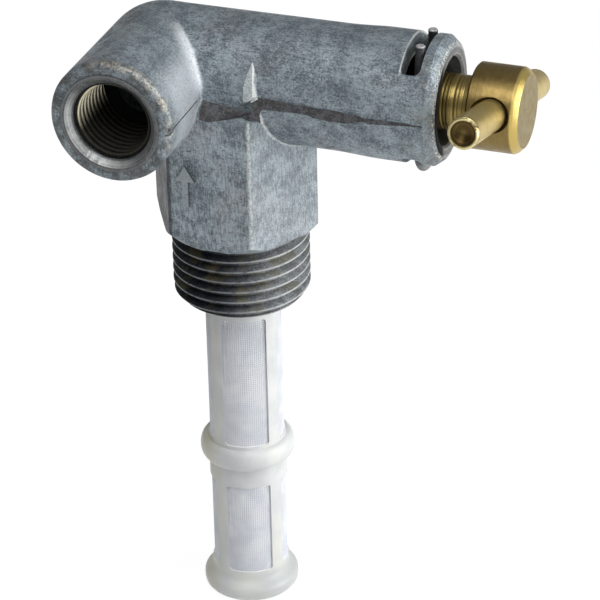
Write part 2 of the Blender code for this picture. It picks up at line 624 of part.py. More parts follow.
def main():
    for obj in list(bpy.data.objects):
        bpy.data.objects.remove(obj, do_unlink=True)
    cast = material("cast_metal", (0.26, 0.29, 0.32), 0.85, 0.5)
    brass = material("brass", (0.58, 0.42, 0.13), 1.0, 0.32)
    brass_bar = material("brass_bar", (0.66, 0.52, 0.26), 1.0, 0.38)
    wire = material("zinc_wire", (0.36, 0.36, 0.35), 1.0, 0.4)
    nylon = material("nylon", (0.78, 0.80, 0.80), 0.0, 0.4)
    gauze = material("gauze", (0.72, 0.75, 0.77), 0.0, 0.6)
    rubber = material("rubber_ring", (0.02, 0.02, 0.02), 0.0, 0.6)
    seal = material("rubber_seal", (0.03, 0.03, 0.03), 0.0, 0.7)
    valve_body(cast)
    sliding = bpy.data.objects.new("spindle_axis", None)
    sliding.location = (0, 0, BARREL_Z)
    bpy.context.scene.collection.objects.link(sliding)
    movers = [spindle(brass), t_bar(brass_bar), nose_seal(seal)]
    movers += [o_ring("o_ring_inner", RING_INNER_X, rubber), o_ring("o_ring_outer", RING_OUTER_X, rubber)]
    for obj in movers:
        obj.parent = sliding
        obj.matrix_parent_inverse = Matrix.Translation((0, 0, -BARREL_Z))
    retaining_clip(wire)
    strainer_frame(nylon)
    strainer_gauze(gauze)


main()
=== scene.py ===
import bpy
import json
from math import cos, hypot, pi, radians, sin
from mathutils import Matrix, Vector


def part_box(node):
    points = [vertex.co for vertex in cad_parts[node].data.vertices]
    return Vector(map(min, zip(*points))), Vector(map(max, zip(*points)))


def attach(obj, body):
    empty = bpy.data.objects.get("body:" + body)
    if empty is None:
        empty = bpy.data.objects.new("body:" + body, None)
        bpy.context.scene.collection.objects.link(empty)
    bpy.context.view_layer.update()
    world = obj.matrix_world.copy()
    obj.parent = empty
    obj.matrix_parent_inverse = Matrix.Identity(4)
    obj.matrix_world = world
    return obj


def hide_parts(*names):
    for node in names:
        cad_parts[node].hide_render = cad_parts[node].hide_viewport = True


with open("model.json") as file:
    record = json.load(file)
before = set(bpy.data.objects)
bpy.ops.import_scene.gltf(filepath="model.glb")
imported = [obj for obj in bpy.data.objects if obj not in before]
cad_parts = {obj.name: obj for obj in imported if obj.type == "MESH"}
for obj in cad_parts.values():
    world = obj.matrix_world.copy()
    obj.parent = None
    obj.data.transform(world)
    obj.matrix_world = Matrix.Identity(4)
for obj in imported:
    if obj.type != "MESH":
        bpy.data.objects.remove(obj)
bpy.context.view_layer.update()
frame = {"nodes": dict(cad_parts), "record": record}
mm = 0.001

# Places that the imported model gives, in millimetres
record = frame["record"]
mountAt = {m["name"]: Vector(m["pos_m"]) / mm for m in record["mounts"]}
barrelZ = next(j["pos_m"][2] for j in record["behaviour"]["joints"] if "pos_m" in j) / mm
portX = mountAt["outlet_face"].x
portReach = -mountAt["outlet_face"].y
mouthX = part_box("valve_body")[1].x / mm
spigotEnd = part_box("valve_body")[0].z / mm
clipLow, clipHigh = (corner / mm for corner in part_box("retaining_clip"))
barAt = (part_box("t_bar")[0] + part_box("t_bar")[1]) / 2 / mm
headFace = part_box("spindle")[1].x / mm
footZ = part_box("strainer_frame")[0].z / mm
barrelLine = ((1, 0, 0), (0, 0, barrelZ))
outletLine = ((0, -1, 0), (portX, 0, barrelZ))
print("frame loaded, barrel axis at height", round(barrelZ, 2), "mm")


# Small modelling helpers; all sizes are given to them in millimetres

def nothingSelected():
    if bpy.context.object and bpy.context.object.mode != "OBJECT":
        bpy.ops.object.mode_set(mode="OBJECT")
    bpy.ops.object.select_all(action="DESELECT")


def makeActive(piece):
    nothingSelected()
    piece.select_set(True)
    bpy.context.view_layer.objects.active = piece


def named(name):
    piece = bpy.context.object
    piece.name = name
    return piece


def settle(piece):
    makeActive(piece)
    bpy.ops.object.transform_apply(location=True, rotation=True, scale=True)


def applyModifier(piece, kind, **settings):
    makeActive(piece)
    step = piece.modifiers.new(kind.lower(), kind)
    for key, value in settings.items():
        setattr(step, key, value)
    bpy.ops.object.modifier_apply(modifier=step.name)


def carve(piece, tool, how="DIFFERENCE"):
    applyModifier(piece, "BOOLEAN", object=tool, operation=how, solver="MANIFOLD")
    bpy.data.objects.remove(tool, do_unlink=True)


def openUp():
    bpy.ops.object.mode_set(mode="EDIT")
    bpy.ops.mesh.select_all(action="SELECT")


def drawOut(x, y, z):
    bpy.ops.mesh.extrude_region_move(TRANSFORM_OT_translate={"value": (x * mm, y * mm, z * mm)})


def closeUp():
    bpy.ops.mesh.select_all(action="SELECT")
    bpy.ops.mesh.fill_holes(sides=0)
    bpy.ops.mesh.select_all(action="SELECT")
    bpy.ops.mesh.normals_make_consistent(inside=False)
    bpy.ops.object.mode_set(mode="OBJECT")


def turnTo(piece, axis, centre):
    # A piece is made along +Z and then laid on its axis
    settle(piece)
    piece.rotation_mode = "QUATERNION"
    piece.rotation_quaternion = Vector((0, 0, 1)).rotation_difference(Vector(axis))
    piece.location = Vector(centre) * mm
    settle(piece)


def turned(name, rings, axis=(0, 0, 1), centre=(0, 0, 0), sides=96, closed=False):
    # A circle extruded and resized from ring to ring, as on a lathe; each ring is (radius, station)
    nothingSelected()
    radius, start = rings[0]
    bpy.ops.mesh.primitive_circle_add(vertices=sides, radius=radius * mm, location=(0, 0, start * mm))
    piece = named(name)
    openUp()
    for (r0, s0), (r1, s1) in zip(rings, rings[1:]):
        drawOut(0, 0, s1 - s0)
        bpy.ops.transform.resize(value=(r1 / r0, r1 / r0, 1), center_override=(0, 0, s1 * mm))
    if closed:
        bpy.ops.mesh.select_mode(type="EDGE")
        bpy.ops.mesh.select_all(action="DESELECT")
        bpy.ops.mesh.select_non_manifold()
        bpy.ops.mesh.bridge_edge_loops()
    closeUp()
    turnTo(piece, axis, centre)
    return piece


def brick(name, low, high, bevel):
    nothingSelected()
    low, high = Vector(low) * mm, Vector(high) * mm
    bpy.ops.mesh.primitive_cube_add(size=1, location=(low + high) / 2)
    piece = named(name)
    piece.scale = high - low
    settle(piece)
    applyModifier(piece, "BEVEL", width=bevel * mm, segments=4, limit_method="NONE")
    return piece


def slab(name, outline, near, far):
    # A flat outline of (x, z) points, made thick along Y
    nothingSelected()
    bpy.ops.mesh.primitive_circle_add(vertices=len(outline), radius=mm, fill_type="NGON")
    piece = named(name)
    for vert, (x, z) in zip(piece.data.vertices, outline):
        vert.co = (x * mm, near * mm, z * mm)
    openUp()
    drawOut(0, far - near, 0)
    closeUp()
    return piece


def wedge(name, corners):
    # The solid that is stretched over a few corner points
    nothingSelected()
    bpy.ops.mesh.primitive_circle_add(vertices=len(corners), radius=mm)
    piece = named(name)
    for vert, corner in zip(piece.data.vertices, corners):
        vert.co = Vector(corner) * mm
    openUp()
    bpy.ops.mesh.convex_hull()
    closeUp()
    return piece


def coil(name, section, pitch, turns, steps=72):
    # A thread's ridge: its section, as (radius, height) points, screwed up the Z axis
    nothingSelected()
    bpy.ops.mesh.primitive_circle_add(vertices=len(section), radius=mm)
    piece = named(name)
    for vert, (radius, height) in zip(piece.data.vertices, section):
        vert.co = (radius * mm, 0, height * mm)
    applyModifier(
        piece, "SCREW", angle=2 * pi, screw_offset=pitch * mm, iterations=turns, steps=steps,
        render_steps=steps, axis="Z", use_merge_vertices=False)
    makeActive(piece)
    openUp()
    closeUp()
    return piece


def joined(name, pieces):
    nothingSelected()
    for piece in pieces:
        piece.select_set(True)
    bpy.context.view_layer.objects.active = pieces[0]
    bpy.ops.object.join()
    return named(name)


def smooth(piece, angle=32):
    makeActive(piece)
    bpy.ops.object.shade_smooth_by_angle(angle=radians(angle))


def dress(piece, *materials):
    piece.data.materials.clear()
    for material in materials:
        piece.data.materials.append(material)


def paint(piece, index, wanted):
    # Faces whose middle (in millimetres) and normal the test accepts take another material
    for face in piece.data.polygons:
        if wanted(face.center / mm, face.normal):
            face.material_index = index


# Cast body

castSizes = {
    "barrelR": 9.85, "mouthR": 10.15, "portR": 9.9, "voxel": 0.32,
    "hexFlats": 23.8125, "hexX": -0.54, "seatR": 12.01, "hexTop": 27.0,
    "ledgeLow": 22.6, "ledgeHigh": 25.2, "ledgeIn": 26.6, "stripY": -9.93,
    "creaseRise": 0.5, "creaseReach": 6.5,
    "slotNear": 29.1, "slotFar": 32.2, "slotHalf": 7.3, "seamLow": 25.62, "seamHigh": 25.92,
}

# Flash trimmed off along the parting line, as an outline of (x, z) points
trimmedStrip = [
    (7.35, 26.95), (9.1, 26.86), (11.8, 26.76), (13.4, 26.6), (15.4, 26.62), (17.3, 26.42), (19.7, 26.44),
    (21.6, 26.3), (22.6, 26.35), (22.6, 25.12), (21.7, 24.58), (19.6, 24.54), (17.6, 24.6), (16.3, 24.68),
    (15.5, 25.0), (14.4, 25.15), (11.8, 25.08), (9.4, 25.0), (7.95, 24.94), (7.62, 24.2), (7.35, 24.0)]
thinStrip = [
    (20.9, 26.36), (22.3, 26.3), (23.1, 26.38), (24.3, 26.0), (27.1, 25.98), (30.0, 26.04), (33.4, 25.9),
    (33.4, 25.7), (30.0, 25.5), (27.3, 25.27), (25.4, 25.2), (23.9, 25.32), (22.9, 25.02), (21.7, 24.7),
    (20.9, 24.6)]
arrowMark = [
    (-4.7, 7.6), (-3.7, 7.6), (-3.7, 12.0), (-2.6, 12.0), (-4.2, 14.6), (-5.8, 12.0), (-4.7, 12.0)]


def hexBlock():
    s = castSizes
    corner = s["hexFlats"] / 2 / cos(pi / 6)
    nothingSelected()
    bpy.ops.mesh.primitive_cylinder_add(
        vertices=6, radius=corner * mm, depth=s["hexTop"] * mm,
        location=(s["hexX"] * mm, 0, s["hexTop"] / 2 * mm), rotation=(0, 0, pi / 6))
    piece = named("hexBlock")
    settle(piece)
    half = corner * sin(pi / 3)
    left = s["hexX"] - corner / 2
    right = s["hexX"] + corner / 2
    inY = 0.78 * s["barrelR"]
    for side in (-1, 1):
        a = Vector((left, side * half, s["ledgeLow"]))
        b = Vector((right, side * half, s["ledgeHigh"]))
        c = Vector((s["hexX"], side * inY, s["ledgeIn"]))
        normal = (b - a).cross(c - a).normalized()
        if normal.z < 0:
            normal = -normal
        makeActive(piece)
        openUp()
        bpy.ops.mesh.bisect(plane_co=a * mm, plane_no=normal, use_fill=True, clear_outer=True)
        closeUp()
    return piece


def castShell():
    # The four shells are melted into one skin, whose inner corners and edges come out rounded
    s = castSizes
    r, m = s["barrelR"], s["mouthR"]
    barrel = turned(
        "barrel", [(s["portR"], portX), (r, portX + 3), (r, 18), (r + 0.04, 19.5), (r + 0.15, 21.5),
                   (m - 0.03, 23.5), (m, 25), (m, mouthX + 1.5)], *barrelLine, 128)
    port = turned("port", [(s["portR"], 0), (s["portR"], portReach + 1.5)], *outletLine, 128)
    nothingSelected()
    bpy.ops.mesh.primitive_uv_sphere_add(
        segments=128, ring_count=64, radius=s["portR"] * mm, location=(portX * mm, 0, barrelZ * mm))
    bend = bpy.context.object
    settle(bend)
    shell = joined("castBody", [barrel, port, bend, hexBlock()])
    applyModifier(shell, "REMESH", mode="VOXEL", voxel_size=s["voxel"] * mm, adaptivity=0.0)
    applyModifier(shell, "SMOOTH", factor=0.5, iterations=1)
    # The bend's inner corner opens out towards its top and bottom
    least, reach = s["creaseRise"], s["creaseReach"]
    crease = shell.vertex_groups.new(name="crease")
    for vert in shell.data.vertices:
        p = vert.co / mm
        rise = abs(p.z - barrelZ) / r
        along = (p.x - portX) + p.y
        across = (p.x - portX) - p.y
        if rise > least and -1.5 < across < 17 and abs(along) < reach:
            weight = min(1.0, (rise - least) / 0.4) * min(1.0, (reach - abs(along)) / 3.5)
            crease.add([vert.index], weight, "REPLACE")
    applyModifier(shell, "SMOOTH", factor=0.5, iterations=40, vertex_group="crease")
    return shell


def valveHollow():
    stations = [(6.0, -5.2), (6.0, 15.3), (6.4, 15.8), (6.4, 24.4), (6.9, 25.0), (6.9, mouthX - 0.35),
                (9.3, mouthX + 2.05)]
    hollow = turned("valveHollow", stations, *barrelLine)
    inlet = turned("inlet", [(6.8, spigotEnd - 2), (6.8, -0.9), (4.6, -0.9), (4.6, barrelZ - 1.15)])
    seat = turned("seatHole", [(2.4, portX + 2), (2.4, -3.2)], *barrelLine)
    deep = portReach - 12.5
    drill = turned(
        "outletHollow", [(4.2, -4.2), (4.2, deep - 1.2), (6.35, deep), (6.35, portReach - 1.05),
                         (7.35, portReach), (9.35, portReach + 2)], *outletLine)
    for tool in (inlet, seat, drill):
        carve(hollow, tool, "UNION")
    return hollow


def partingMarks(body):
    # Where the mould halves met and the flash was sheared off
    y = castSizes["stripY"]
    seam = (castSizes["seamLow"], castSizes["seamHigh"])
    ledge = [(-1.65, -12.4, 22.15), (6.9, -12.4, 24.6), (-1.65, y + 0.1, 25.15), (6.2, y + 0.1, 24.1)]
    ledge += [(x, depth, 27.5) for x, depth, z in ledge]
    carve(body, wedge("ledgeCutter", ledge))
    notch = [(5.6, -12.6, 24.2), (8.1, -10.0, 22.5), (5.3, -11.2, 23.9), (7.5, y + 0.05, 22.7)]
    notch += [(x, depth, 27.6) for x, depth, z in notch]
    carve(body, wedge("notchCutter", notch))
    carve(body, slab("trimmedStrip", trimmedStrip, y - 0.04, -8.6), "UNION")
    carve(body, slab("thinStrip", thinStrip, y - 0.27, -8.7), "UNION")
    rib = [(5.84, -7.85, 31.75), (6.42, -9.65, 29.7), (6.9, -11.0, 27.3), (5.28, -8.97, 29.95)]
    rib += [(4.92, -9.68, 28.0), (4.78, -9.93, 25.2), (6.9, -8.97, 29.95), (7.25, -9.85, 27.0)]
    rib += [(6.0, -8.4, 25.1), (5.9, -7.0, 30.0)]
    carve(body, wedge("partingRib", rib), "UNION")
    carve(body, brick("seamCutter", (-2.1, -22.5, seam[0]), (-1.2, -11.2, seam[1]), 0.04))
    nick = [(x, -20.9, z) for x in (-2.1, -1) for z in seam]
    nick += [(x, -23.2, z) for x in (-3.7, -1) for z in (24.2, 24.6)]
    carve(body, wedge("rimNick", nick))
    carve(body, slab("arrowMark", arrowMark, -12.5, -11.5), "UNION")


def castBody():
    s = castSizes
    body = castShell()
    print("cast shell", len(body.data.polygons), "faces")
    # The hexagon's foot is turned to a cone and a flat seat
    hexTool = [(s["seatR"], 0), (s["seatR"] + 14, 14), (60, 14), (60, 60)]
    carve(body, turned("hexTurning", hexTool), "INTERSECT")
    carve(body, turned("spigotNeck", [(9.7, -1.2), (9.7, 6)]), "UNION")
    mouthTool = [(5, mouthX), (8.5, mouthX), (9.25, mouthX - 0.3), (10.15, mouthX - 1.4),
                 (10.6, mouthX - 2.1), (14, mouthX - 2.1), (14, mouthX + 5), (5, mouthX + 5)]
    carve(body, turned("mouthTurning", mouthTool, *barrelLine, 128, closed=True))
    f = portReach
    portTool = [(2, f), (8.05, f), (8.05, f - 0.2), (8.6, f - 0.2), (9.4, f - 0.36), (9.72, f - 0.62),
                (9.9, f - 1.12), (10.4, f - 1.9), (14, f - 1.9), (14, f + 5), (2, f + 5)]
    carve(body, turned("portTurning", portTool, *outletLine, 128, closed=True))
    carve(body, valveHollow())
    half = s["slotHalf"]
    slotLow, slotHigh = (s["slotNear"], -half, barrelZ - 15), (s["slotFar"], half, barrelZ + 15)
    carve(body, brick("slotCutter", slotLow, slotHigh, 0.85))
    partingMarks(body)
    return body


body = castBody()
smooth(body)
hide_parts("valve_body")
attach(body, "housing")
print("cast body made,", len(body.data.polygons), "faces")


# Male thread for the tank and female thread in the outlet

threadSizes = {
    "crest": 11.06, "root": 9.95, "crestHalf": 0.12, "flank": 0.577,
    "pitch": 1.8143, "firstCrest": -1.77, "turns": 8,
    "innerCrest": 5.72, "innerPitch": 1.27, "innerTurns": 11,
}


def tankThread():
    s = threadSizes
    crest, root, top = s["crest"], s["root"], s["crestHalf"]
    rise = (crest - root) * s["flank"] + top
    section = [(root - 0.35, -rise), (root, -rise), (crest, -top)]
    section += [(radius, -height) for radius, height in reversed(section)]
    ridge = coil("tankThread", section, s["pitch"], s["turns"], 96)
    ridge.location.z = (s["firstCrest"] - (s["turns"] - 1) * s["pitch"]) * mm
    settle(ridge)
    end = spigotEnd
    envelope = turned(
        "threadEnvelope", [(9.81, end), (crest + 0.06, end + 1.5), (crest + 0.06, -1.5), (10.0, -0.75)])
    carve(ridge, envelope, "INTERSECT")
    core = turned("threadCore", [(9.6, end), (root, end + 0.4), (root, -0.9), (9.85, -0.4), (9.85, 0.6)])
    carve(core, turned("threadBore", [(6.8, end - 2), (6.8, -0.9), (4.6, -0.9), (4.6, 2)]))
    carve(core, ridge, "UNION")
    core.name = "tankThread"
    return core


def outletThread():
    s = threadSizes
    crest = s["innerCrest"]
    section = [(6.8, -0.58), (6.35, -0.53), (crest, -0.2), (crest, 0.2), (6.35, 0.53), (6.8, 0.58)]
    ridge = coil("outletThread", section, s["innerPitch"], s["innerTurns"])
    ridge.location.z = (portReach - 12.9) * mm
    settle(ridge)
    envelope = turned(
        "outletEnvelope", [(6.95, portReach - 12), (6.95, portReach - 0.95), (5.6, portReach - 1.6)])
    carve(ridge, envelope, "INTERSECT")
    turnTo(ridge, *outletLine)
    return ridge


tankThreadPiece = tankThread()
outletThreadPiece = outletThread()
for piece in (tankThreadPiece, outletThreadPiece):
    smooth(piece, 25)
    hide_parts("valve_body")
    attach(piece, "housing")
print("threads made")


# Spindle and its bar

spindleSizes = {
    "headBack": 39.0, "headR": 6.7, "stemR": 4.35, "neckR": 3.05, "landR": 5.7, "grooveR": 4.35,
    "grooveHalf": 0.85, "barR": 2.45, "barLength": 41.0, "barTilt": 14.2,
}
barAxis = Vector((0, -cos(radians(spindleSizes["barTilt"])), sin(radians(spindleSizes["barTilt"]))))


def spindlePiece():
    s = spindleSizes
    r, back, stem, neck, land = (s[key] for key in ("headR", "headBack", "stemR", "neckR", "landR"))
    bottom, half = s["grooveR"], s["grooveHalf"]
    rings = [(3.5, -2.6), (3.5, -4.2), (3.9, -4.2), (3.9, 6.1), (land, 7.9)]
    for groove in (10.36, 13.64):
        low, high = groove - half, groove + half
        rings += [(land, low), (bottom, low), (bottom, high), (land, high)]
    rings += [(land, 16.1), (6.1, 16.4), (6.1, 25.0), (5.5, 25.6), (neck, 25.6), (neck, 32.2), (stem, 32.2)]
    # Fine lines that the tool left round the stem
    scores = ((33.9, 0.03), (34.6, 0.05), (35.1, 0.03), (36.4, 0.06), (36.9, 0.03), (37.8, 0.04))
    for station, depth in scores:
        rings += [(stem, station), (stem - depth, station + 0.12), (stem, station + 0.24)]
    rings += [(stem, back), (r - 0.3, back), (r, back + 0.3), (r, headFace - 1.2)]
    rings += [(r - 0.22, headFace - 0.75), (r - 1.0, headFace)]
    # A small centre hole
    rings += [(0.32, headFace), (0.22, headFace - 0.12), (0.06, headFace - 0.16)]
    piece = turned("spindle", rings, *barrelLine)
    hole = [(5, -10), (2.75, -(r - 0.65)), (2.55, -(r - 0.9)), (2.55, r - 0.9), (2.75, r - 0.65), (5, 10)]
    carve(piece, turned("barHole", hole, barAxis, barAt, 64))
    return piece


def crossBar():
    s = spindleSizes
    r, end = s["barR"], s["barLength"] / 2
    # The bar's end from its middle outwards: a shallow dish with a turned line, and the bevelled rim
    profile = [(0.2, -0.52), (0.5, -0.46), (0.6, -0.4), (1.15, -0.28), (1.25, -0.2), (1.95, -0.02), (2.15, 0)]
    rings = [(radius, end + d) for radius, d in profile + [(r, -0.3)]]
    rings = [(radius, -station) for radius, station in rings] + rings[::-1]
    return turned("crossBar", rings, barAxis, barAt, 64)


spindle = spindlePiece()
bar = crossBar()
for piece, node, slot in ((spindle, "spindle", "brass"), (bar, "t_bar", "brass_bar")):
    smooth(piece)
    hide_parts(node)
    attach(piece, "screw_spindle")
print("spindle and bar made")


# Wire clip

clipSizes = {"wireR": 0.75, "lean": 0.95, "kneeZ": 29.6, "tip": 0.15}


def wireClip():
    # A ring drawn down one leg, spun round the bend and drawn up the other; above the knee the legs lean in
    wireR, lean, knee, tip = (clipSizes[key] for key in ("wireR", "lean", "kneeZ", "tip"))
    legY = clipHigh.y - wireR
    x = (clipLow.x + clipHigh.x) / 2
    bendZ = clipLow.z + wireR + legY
    top = clipHigh.z
    nothingSelected()
    bpy.ops.mesh.primitive_circle_add(
        vertices=24, radius=(wireR - tip) * mm, location=(x * mm, (legY - lean) * mm, top * mm))
    piece = named("retainingClip")
    settle(piece)
    openUp()
    grow = wireR / (wireR - tip)
    drawOut(0, 0, -tip)
    bpy.ops.transform.resize(value=(grow, grow, 1), center_override=(x * mm, (legY - lean) * mm, 0))
    drawOut(0, lean, knee - top + tip)
    drawOut(0, 0, bendZ - knee)
    bpy.ops.mesh.spin(steps=24, angle=pi, center=(x * mm, 0, bendZ * mm), axis=(1, 0, 0))
    drawOut(0, 0, knee - bendZ)
    drawOut(0, lean, top - tip - knee)
    drawOut(0, 0, tip)
    bpy.ops.transform.resize(value=(1 / grow, 1 / grow, 1), center_override=(x * mm, (lean - legY) * mm, 0))
    closeUp()
    return piece


clip = wireClip()
smooth(clip, 40)
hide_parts("retaining_clip")
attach(clip, "housing")
print("clip made, lowest point", round(min(v.co.z for v in clip.data.vertices) / mm, 2), "mm")


# Strainer: moulded tube with windows, and the gauze inside it

strainerSizes = {
    "topZ": -1.2, "topR": 6.5, "lowR": 6.375, "innerR": 5.8, "flareZ": -65.1, "footR": 7.9,
    "beadZ": -41.7, "beadHalf": 1.9, "beadR": 7.8, "windowRows": ((-63.9, -47.2), (-39.2, -15.5)),
    "windowHalf": 3.64, "firstWindow": -70, "gauzeR": 6.02, "gauzePitch": 0.35, "wireR": 0.125,
}


def strainerFrame():
    s = strainerSizes

    def tubeR(z):
        return s["topR"] + (s["lowR"] - s["topR"]) * (s["topZ"] - z) / (s["topZ"] - s["flareZ"])

    rings = [(0.5, footZ + 1.4), (s["innerR"] - 0.5, footZ + 1.4), (s["innerR"] - 0.1, footZ + 1.9)]
    rings += [(s["innerR"], s["topZ"]), (s["topR"] - 0.2, s["topZ"]), (s["topR"], s["topZ"] - 0.25)]
    for k in range(17):
        a = pi * k / 16
        z = s["beadZ"] + s["beadHalf"] * cos(a)
        rings.append((tubeR(z) + (s["beadR"] - tubeR(z)) * sin(a) ** 0.8 * 0.999, z))
    low, foot, flare = s["lowR"], s["footR"], s["flareZ"]
    rings += [(low, flare + 0.2), (low + 0.06, flare - 0.1), (low + 0.25, flare - 0.45)]
    rings += [(low + 0.62, flare - 0.85), (low + 1.1, flare - 1.25), (foot - 0.16, flare - 1.55)]
    rings += [(foot - 0.02, flare - 1.85), (foot, flare - 2.1), (foot, footZ + 1.35)]
    rings += [(foot - 0.13, footZ + 0.85), (foot - 0.48, footZ + 0.42), (foot - 1.05, footZ + 0.12)]
    rings += [(foot - 1.8, footZ), (1.0, footZ)]
    piece = turned("strainerFrame", rings, sides=144)
    # One bar through the tube opens a window and the one across from it
    for low, high in s["windowRows"]:
        for k in range(2):
            cutter = brick("window", (-9, -s["windowHalf"], low), (9, s["windowHalf"], high), 0.5)
            cutter.rotation_euler.z = radians(s["firstWindow"] + 90 * k)
            settle(cutter)
            carve(piece, cutter)
    return piece


def gauze():
    # Upright wires and hoops, each made once and then repeated
    s = strainerSizes
    low, high = footZ + 2.2, -14.4
    count = round(2 * pi * s["gauzeR"] / s["gauzePitch"])
    hoops = round((high - low) / s["gauzePitch"])
    r, w = s["gauzeR"], s["wireR"]
    nothingSelected()
    bpy.ops.mesh.primitive_cylinder_add(
        vertices=4, radius=w * mm, depth=(high - low) * mm, location=(r * mm, 0, (low + high) / 2 * mm))
    wire = bpy.context.object
    settle(wire)
    wires = [wire]
    for k in range(1, count):
        copy = wire.copy()
        copy.data = wire.data.copy()
        bpy.context.collection.objects.link(copy)
        copy.data.transform(Matrix.Rotation(2 * pi * k / count, 4, "Z"))
        wires.append(copy)
    hoop = turned("hoop", [(r - w, low), (r, low + w), (r + w, low), (r, low - w)], sides=72, closed=True)
    applyModifier(
        hoop, "ARRAY", count=hoops + 1, use_relative_offset=False, use_constant_offset=True,
        constant_offset_displace=(0, 0, (high - low) / hoops * mm))
    return joined("strainerGauze", [hoop] + wires)


strainer = strainerFrame()
gauzePiece = gauze()
for piece, node, slot in ((strainer, "strainer_frame", "nylon"), (gauzePiece, "strainer_gauze", "gauze")):
    smooth(piece, 30)
    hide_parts(node)
    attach(piece, "housing")
print("strainer made,", len(gauzePiece.data.polygons), "faces in the gauze")


# Node helpers. A value given to a socket is a number, a colour, a vector or another node's output, and a
# node is made in the tree that its linked inputs belong to

def fill(sockets, values):
    for key, value in values.items():
        if isinstance(value, bpy.types.NodeSocket):
            value.id_data.links.new(value, sockets[key])
        elif isinstance(value, tuple) and len(sockets[key].default_value) == 4:
            sockets[key].default_value = (*value, 1)
        else:
            sockets[key].default_value = value


def node(kind, inputs, tree=None, **settings):
    tree = tree or next(v.id_data for v in inputs.values() if isinstance(v, bpy.types.NodeSocket))
    made = tree.nodes.new("ShaderNode" + kind)
    for key, value in settings.items():
        setattr(made, key, value)
    fill(made.inputs, inputs)
    return made


def calc(operation, a, b=0.0, c=0.0, clamp=False):
    return node("Math", {0: a, 1: b, 2: c}, operation=operation, use_clamp=clamp).outputs[0]


def times(*factors):
    product = factors[0]
    for factor in factors[1:]:
        product = calc("MULTIPLY", product, factor)
    return product


def scaled(value, factor, shift):
    return calc("MULTIPLY_ADD", value, factor, shift)


def minus(a, b):
    return calc("SUBTRACT", a, b)


def highest(a, b, clamp=False):
    return calc("MAXIMUM", a, b, clamp=clamp)


def offset(value, centre):
    return calc("ABSOLUTE", minus(value, centre))


def spread(value, low, high, toLow=0.0, toHigh=1.0):
    # Maps low..high to toLow..toHigh with soft ends
    inputs = {"Value": value, "From Min": low, "From Max": high, "To Min": toLow, "To Max": toHigh}
    return node("MapRange", inputs, interpolation_type="SMOOTHSTEP").outputs["Result"]


def around(value, centre, outer, inner):
    # Full up to the inner distance from the centre, and nothing beyond the outer one
    return spread(offset(value, centre), outer, inner)


def window(value, rise, fall):
    return times(spread(value, *rise), spread(value, *fall))


def tint(share, a, b):
    return node("Mix", {"Factor": share, 6: a, 7: b}, data_type="RGBA", blend_type="MIX").outputs[2]


def coat(colour, over, *shares):
    # Another colour laid over the first, as far as the product of the shares goes
    return tint(times(*shares), colour, over)


def noise(vector, scale, detail=4.0, rough=0.6):
    inputs = {"Vector": vector, "Scale": scale, "Detail": detail, "Roughness": rough}
    return node("TexNoise", inputs).outputs["Fac"]


def lines(along, scale, detail):
    # Noise in one direction only, as a tool's feed marks
    inputs = {"W": along, "Scale": scale, "Detail": detail}
    return node("TexNoise", inputs, noise_dimensions="1D").outputs["Fac"]


def stretched(place, scale, turn=(0, 0, 0)):
    return node("Mapping", {"Vector": place, "Rotation": Vector(turn), "Scale": Vector(scale)}).outputs[0]


def distanceFromAxis(a, b, centreA, centreB):
    da = minus(a, centreA)
    db = minus(b, centreB)
    return calc("SQRT", scaled(da, da, times(db, db)))


def relief(height, strength, deep, under=None):
    inputs = {"Height": height, "Strength": strength, "Distance": deep * mm}
    if under:
        inputs["Normal"] = under
    return node("Bump", inputs).outputs[0]


def effect(name, inputs, outputs):
    # A node group; an input that has no number as its default is a vector, and the outputs are numbers
    tree = bpy.data.node_groups.new(name, "ShaderNodeTree")
    for label, value in inputs.items():
        kind = "NodeSocketVector" if value is None else "NodeSocketFloat"
        socket = tree.interface.new_socket(name=label, in_out="INPUT", socket_type=kind)
        if value is not None:
            socket.default_value = value
    for label in outputs:
        tree.interface.new_socket(name=label, in_out="OUTPUT", socket_type="NodeSocketFloat")
    return tree, tree.nodes.new("NodeGroupInput").outputs, tree.nodes.new("NodeGroupOutput").inputs


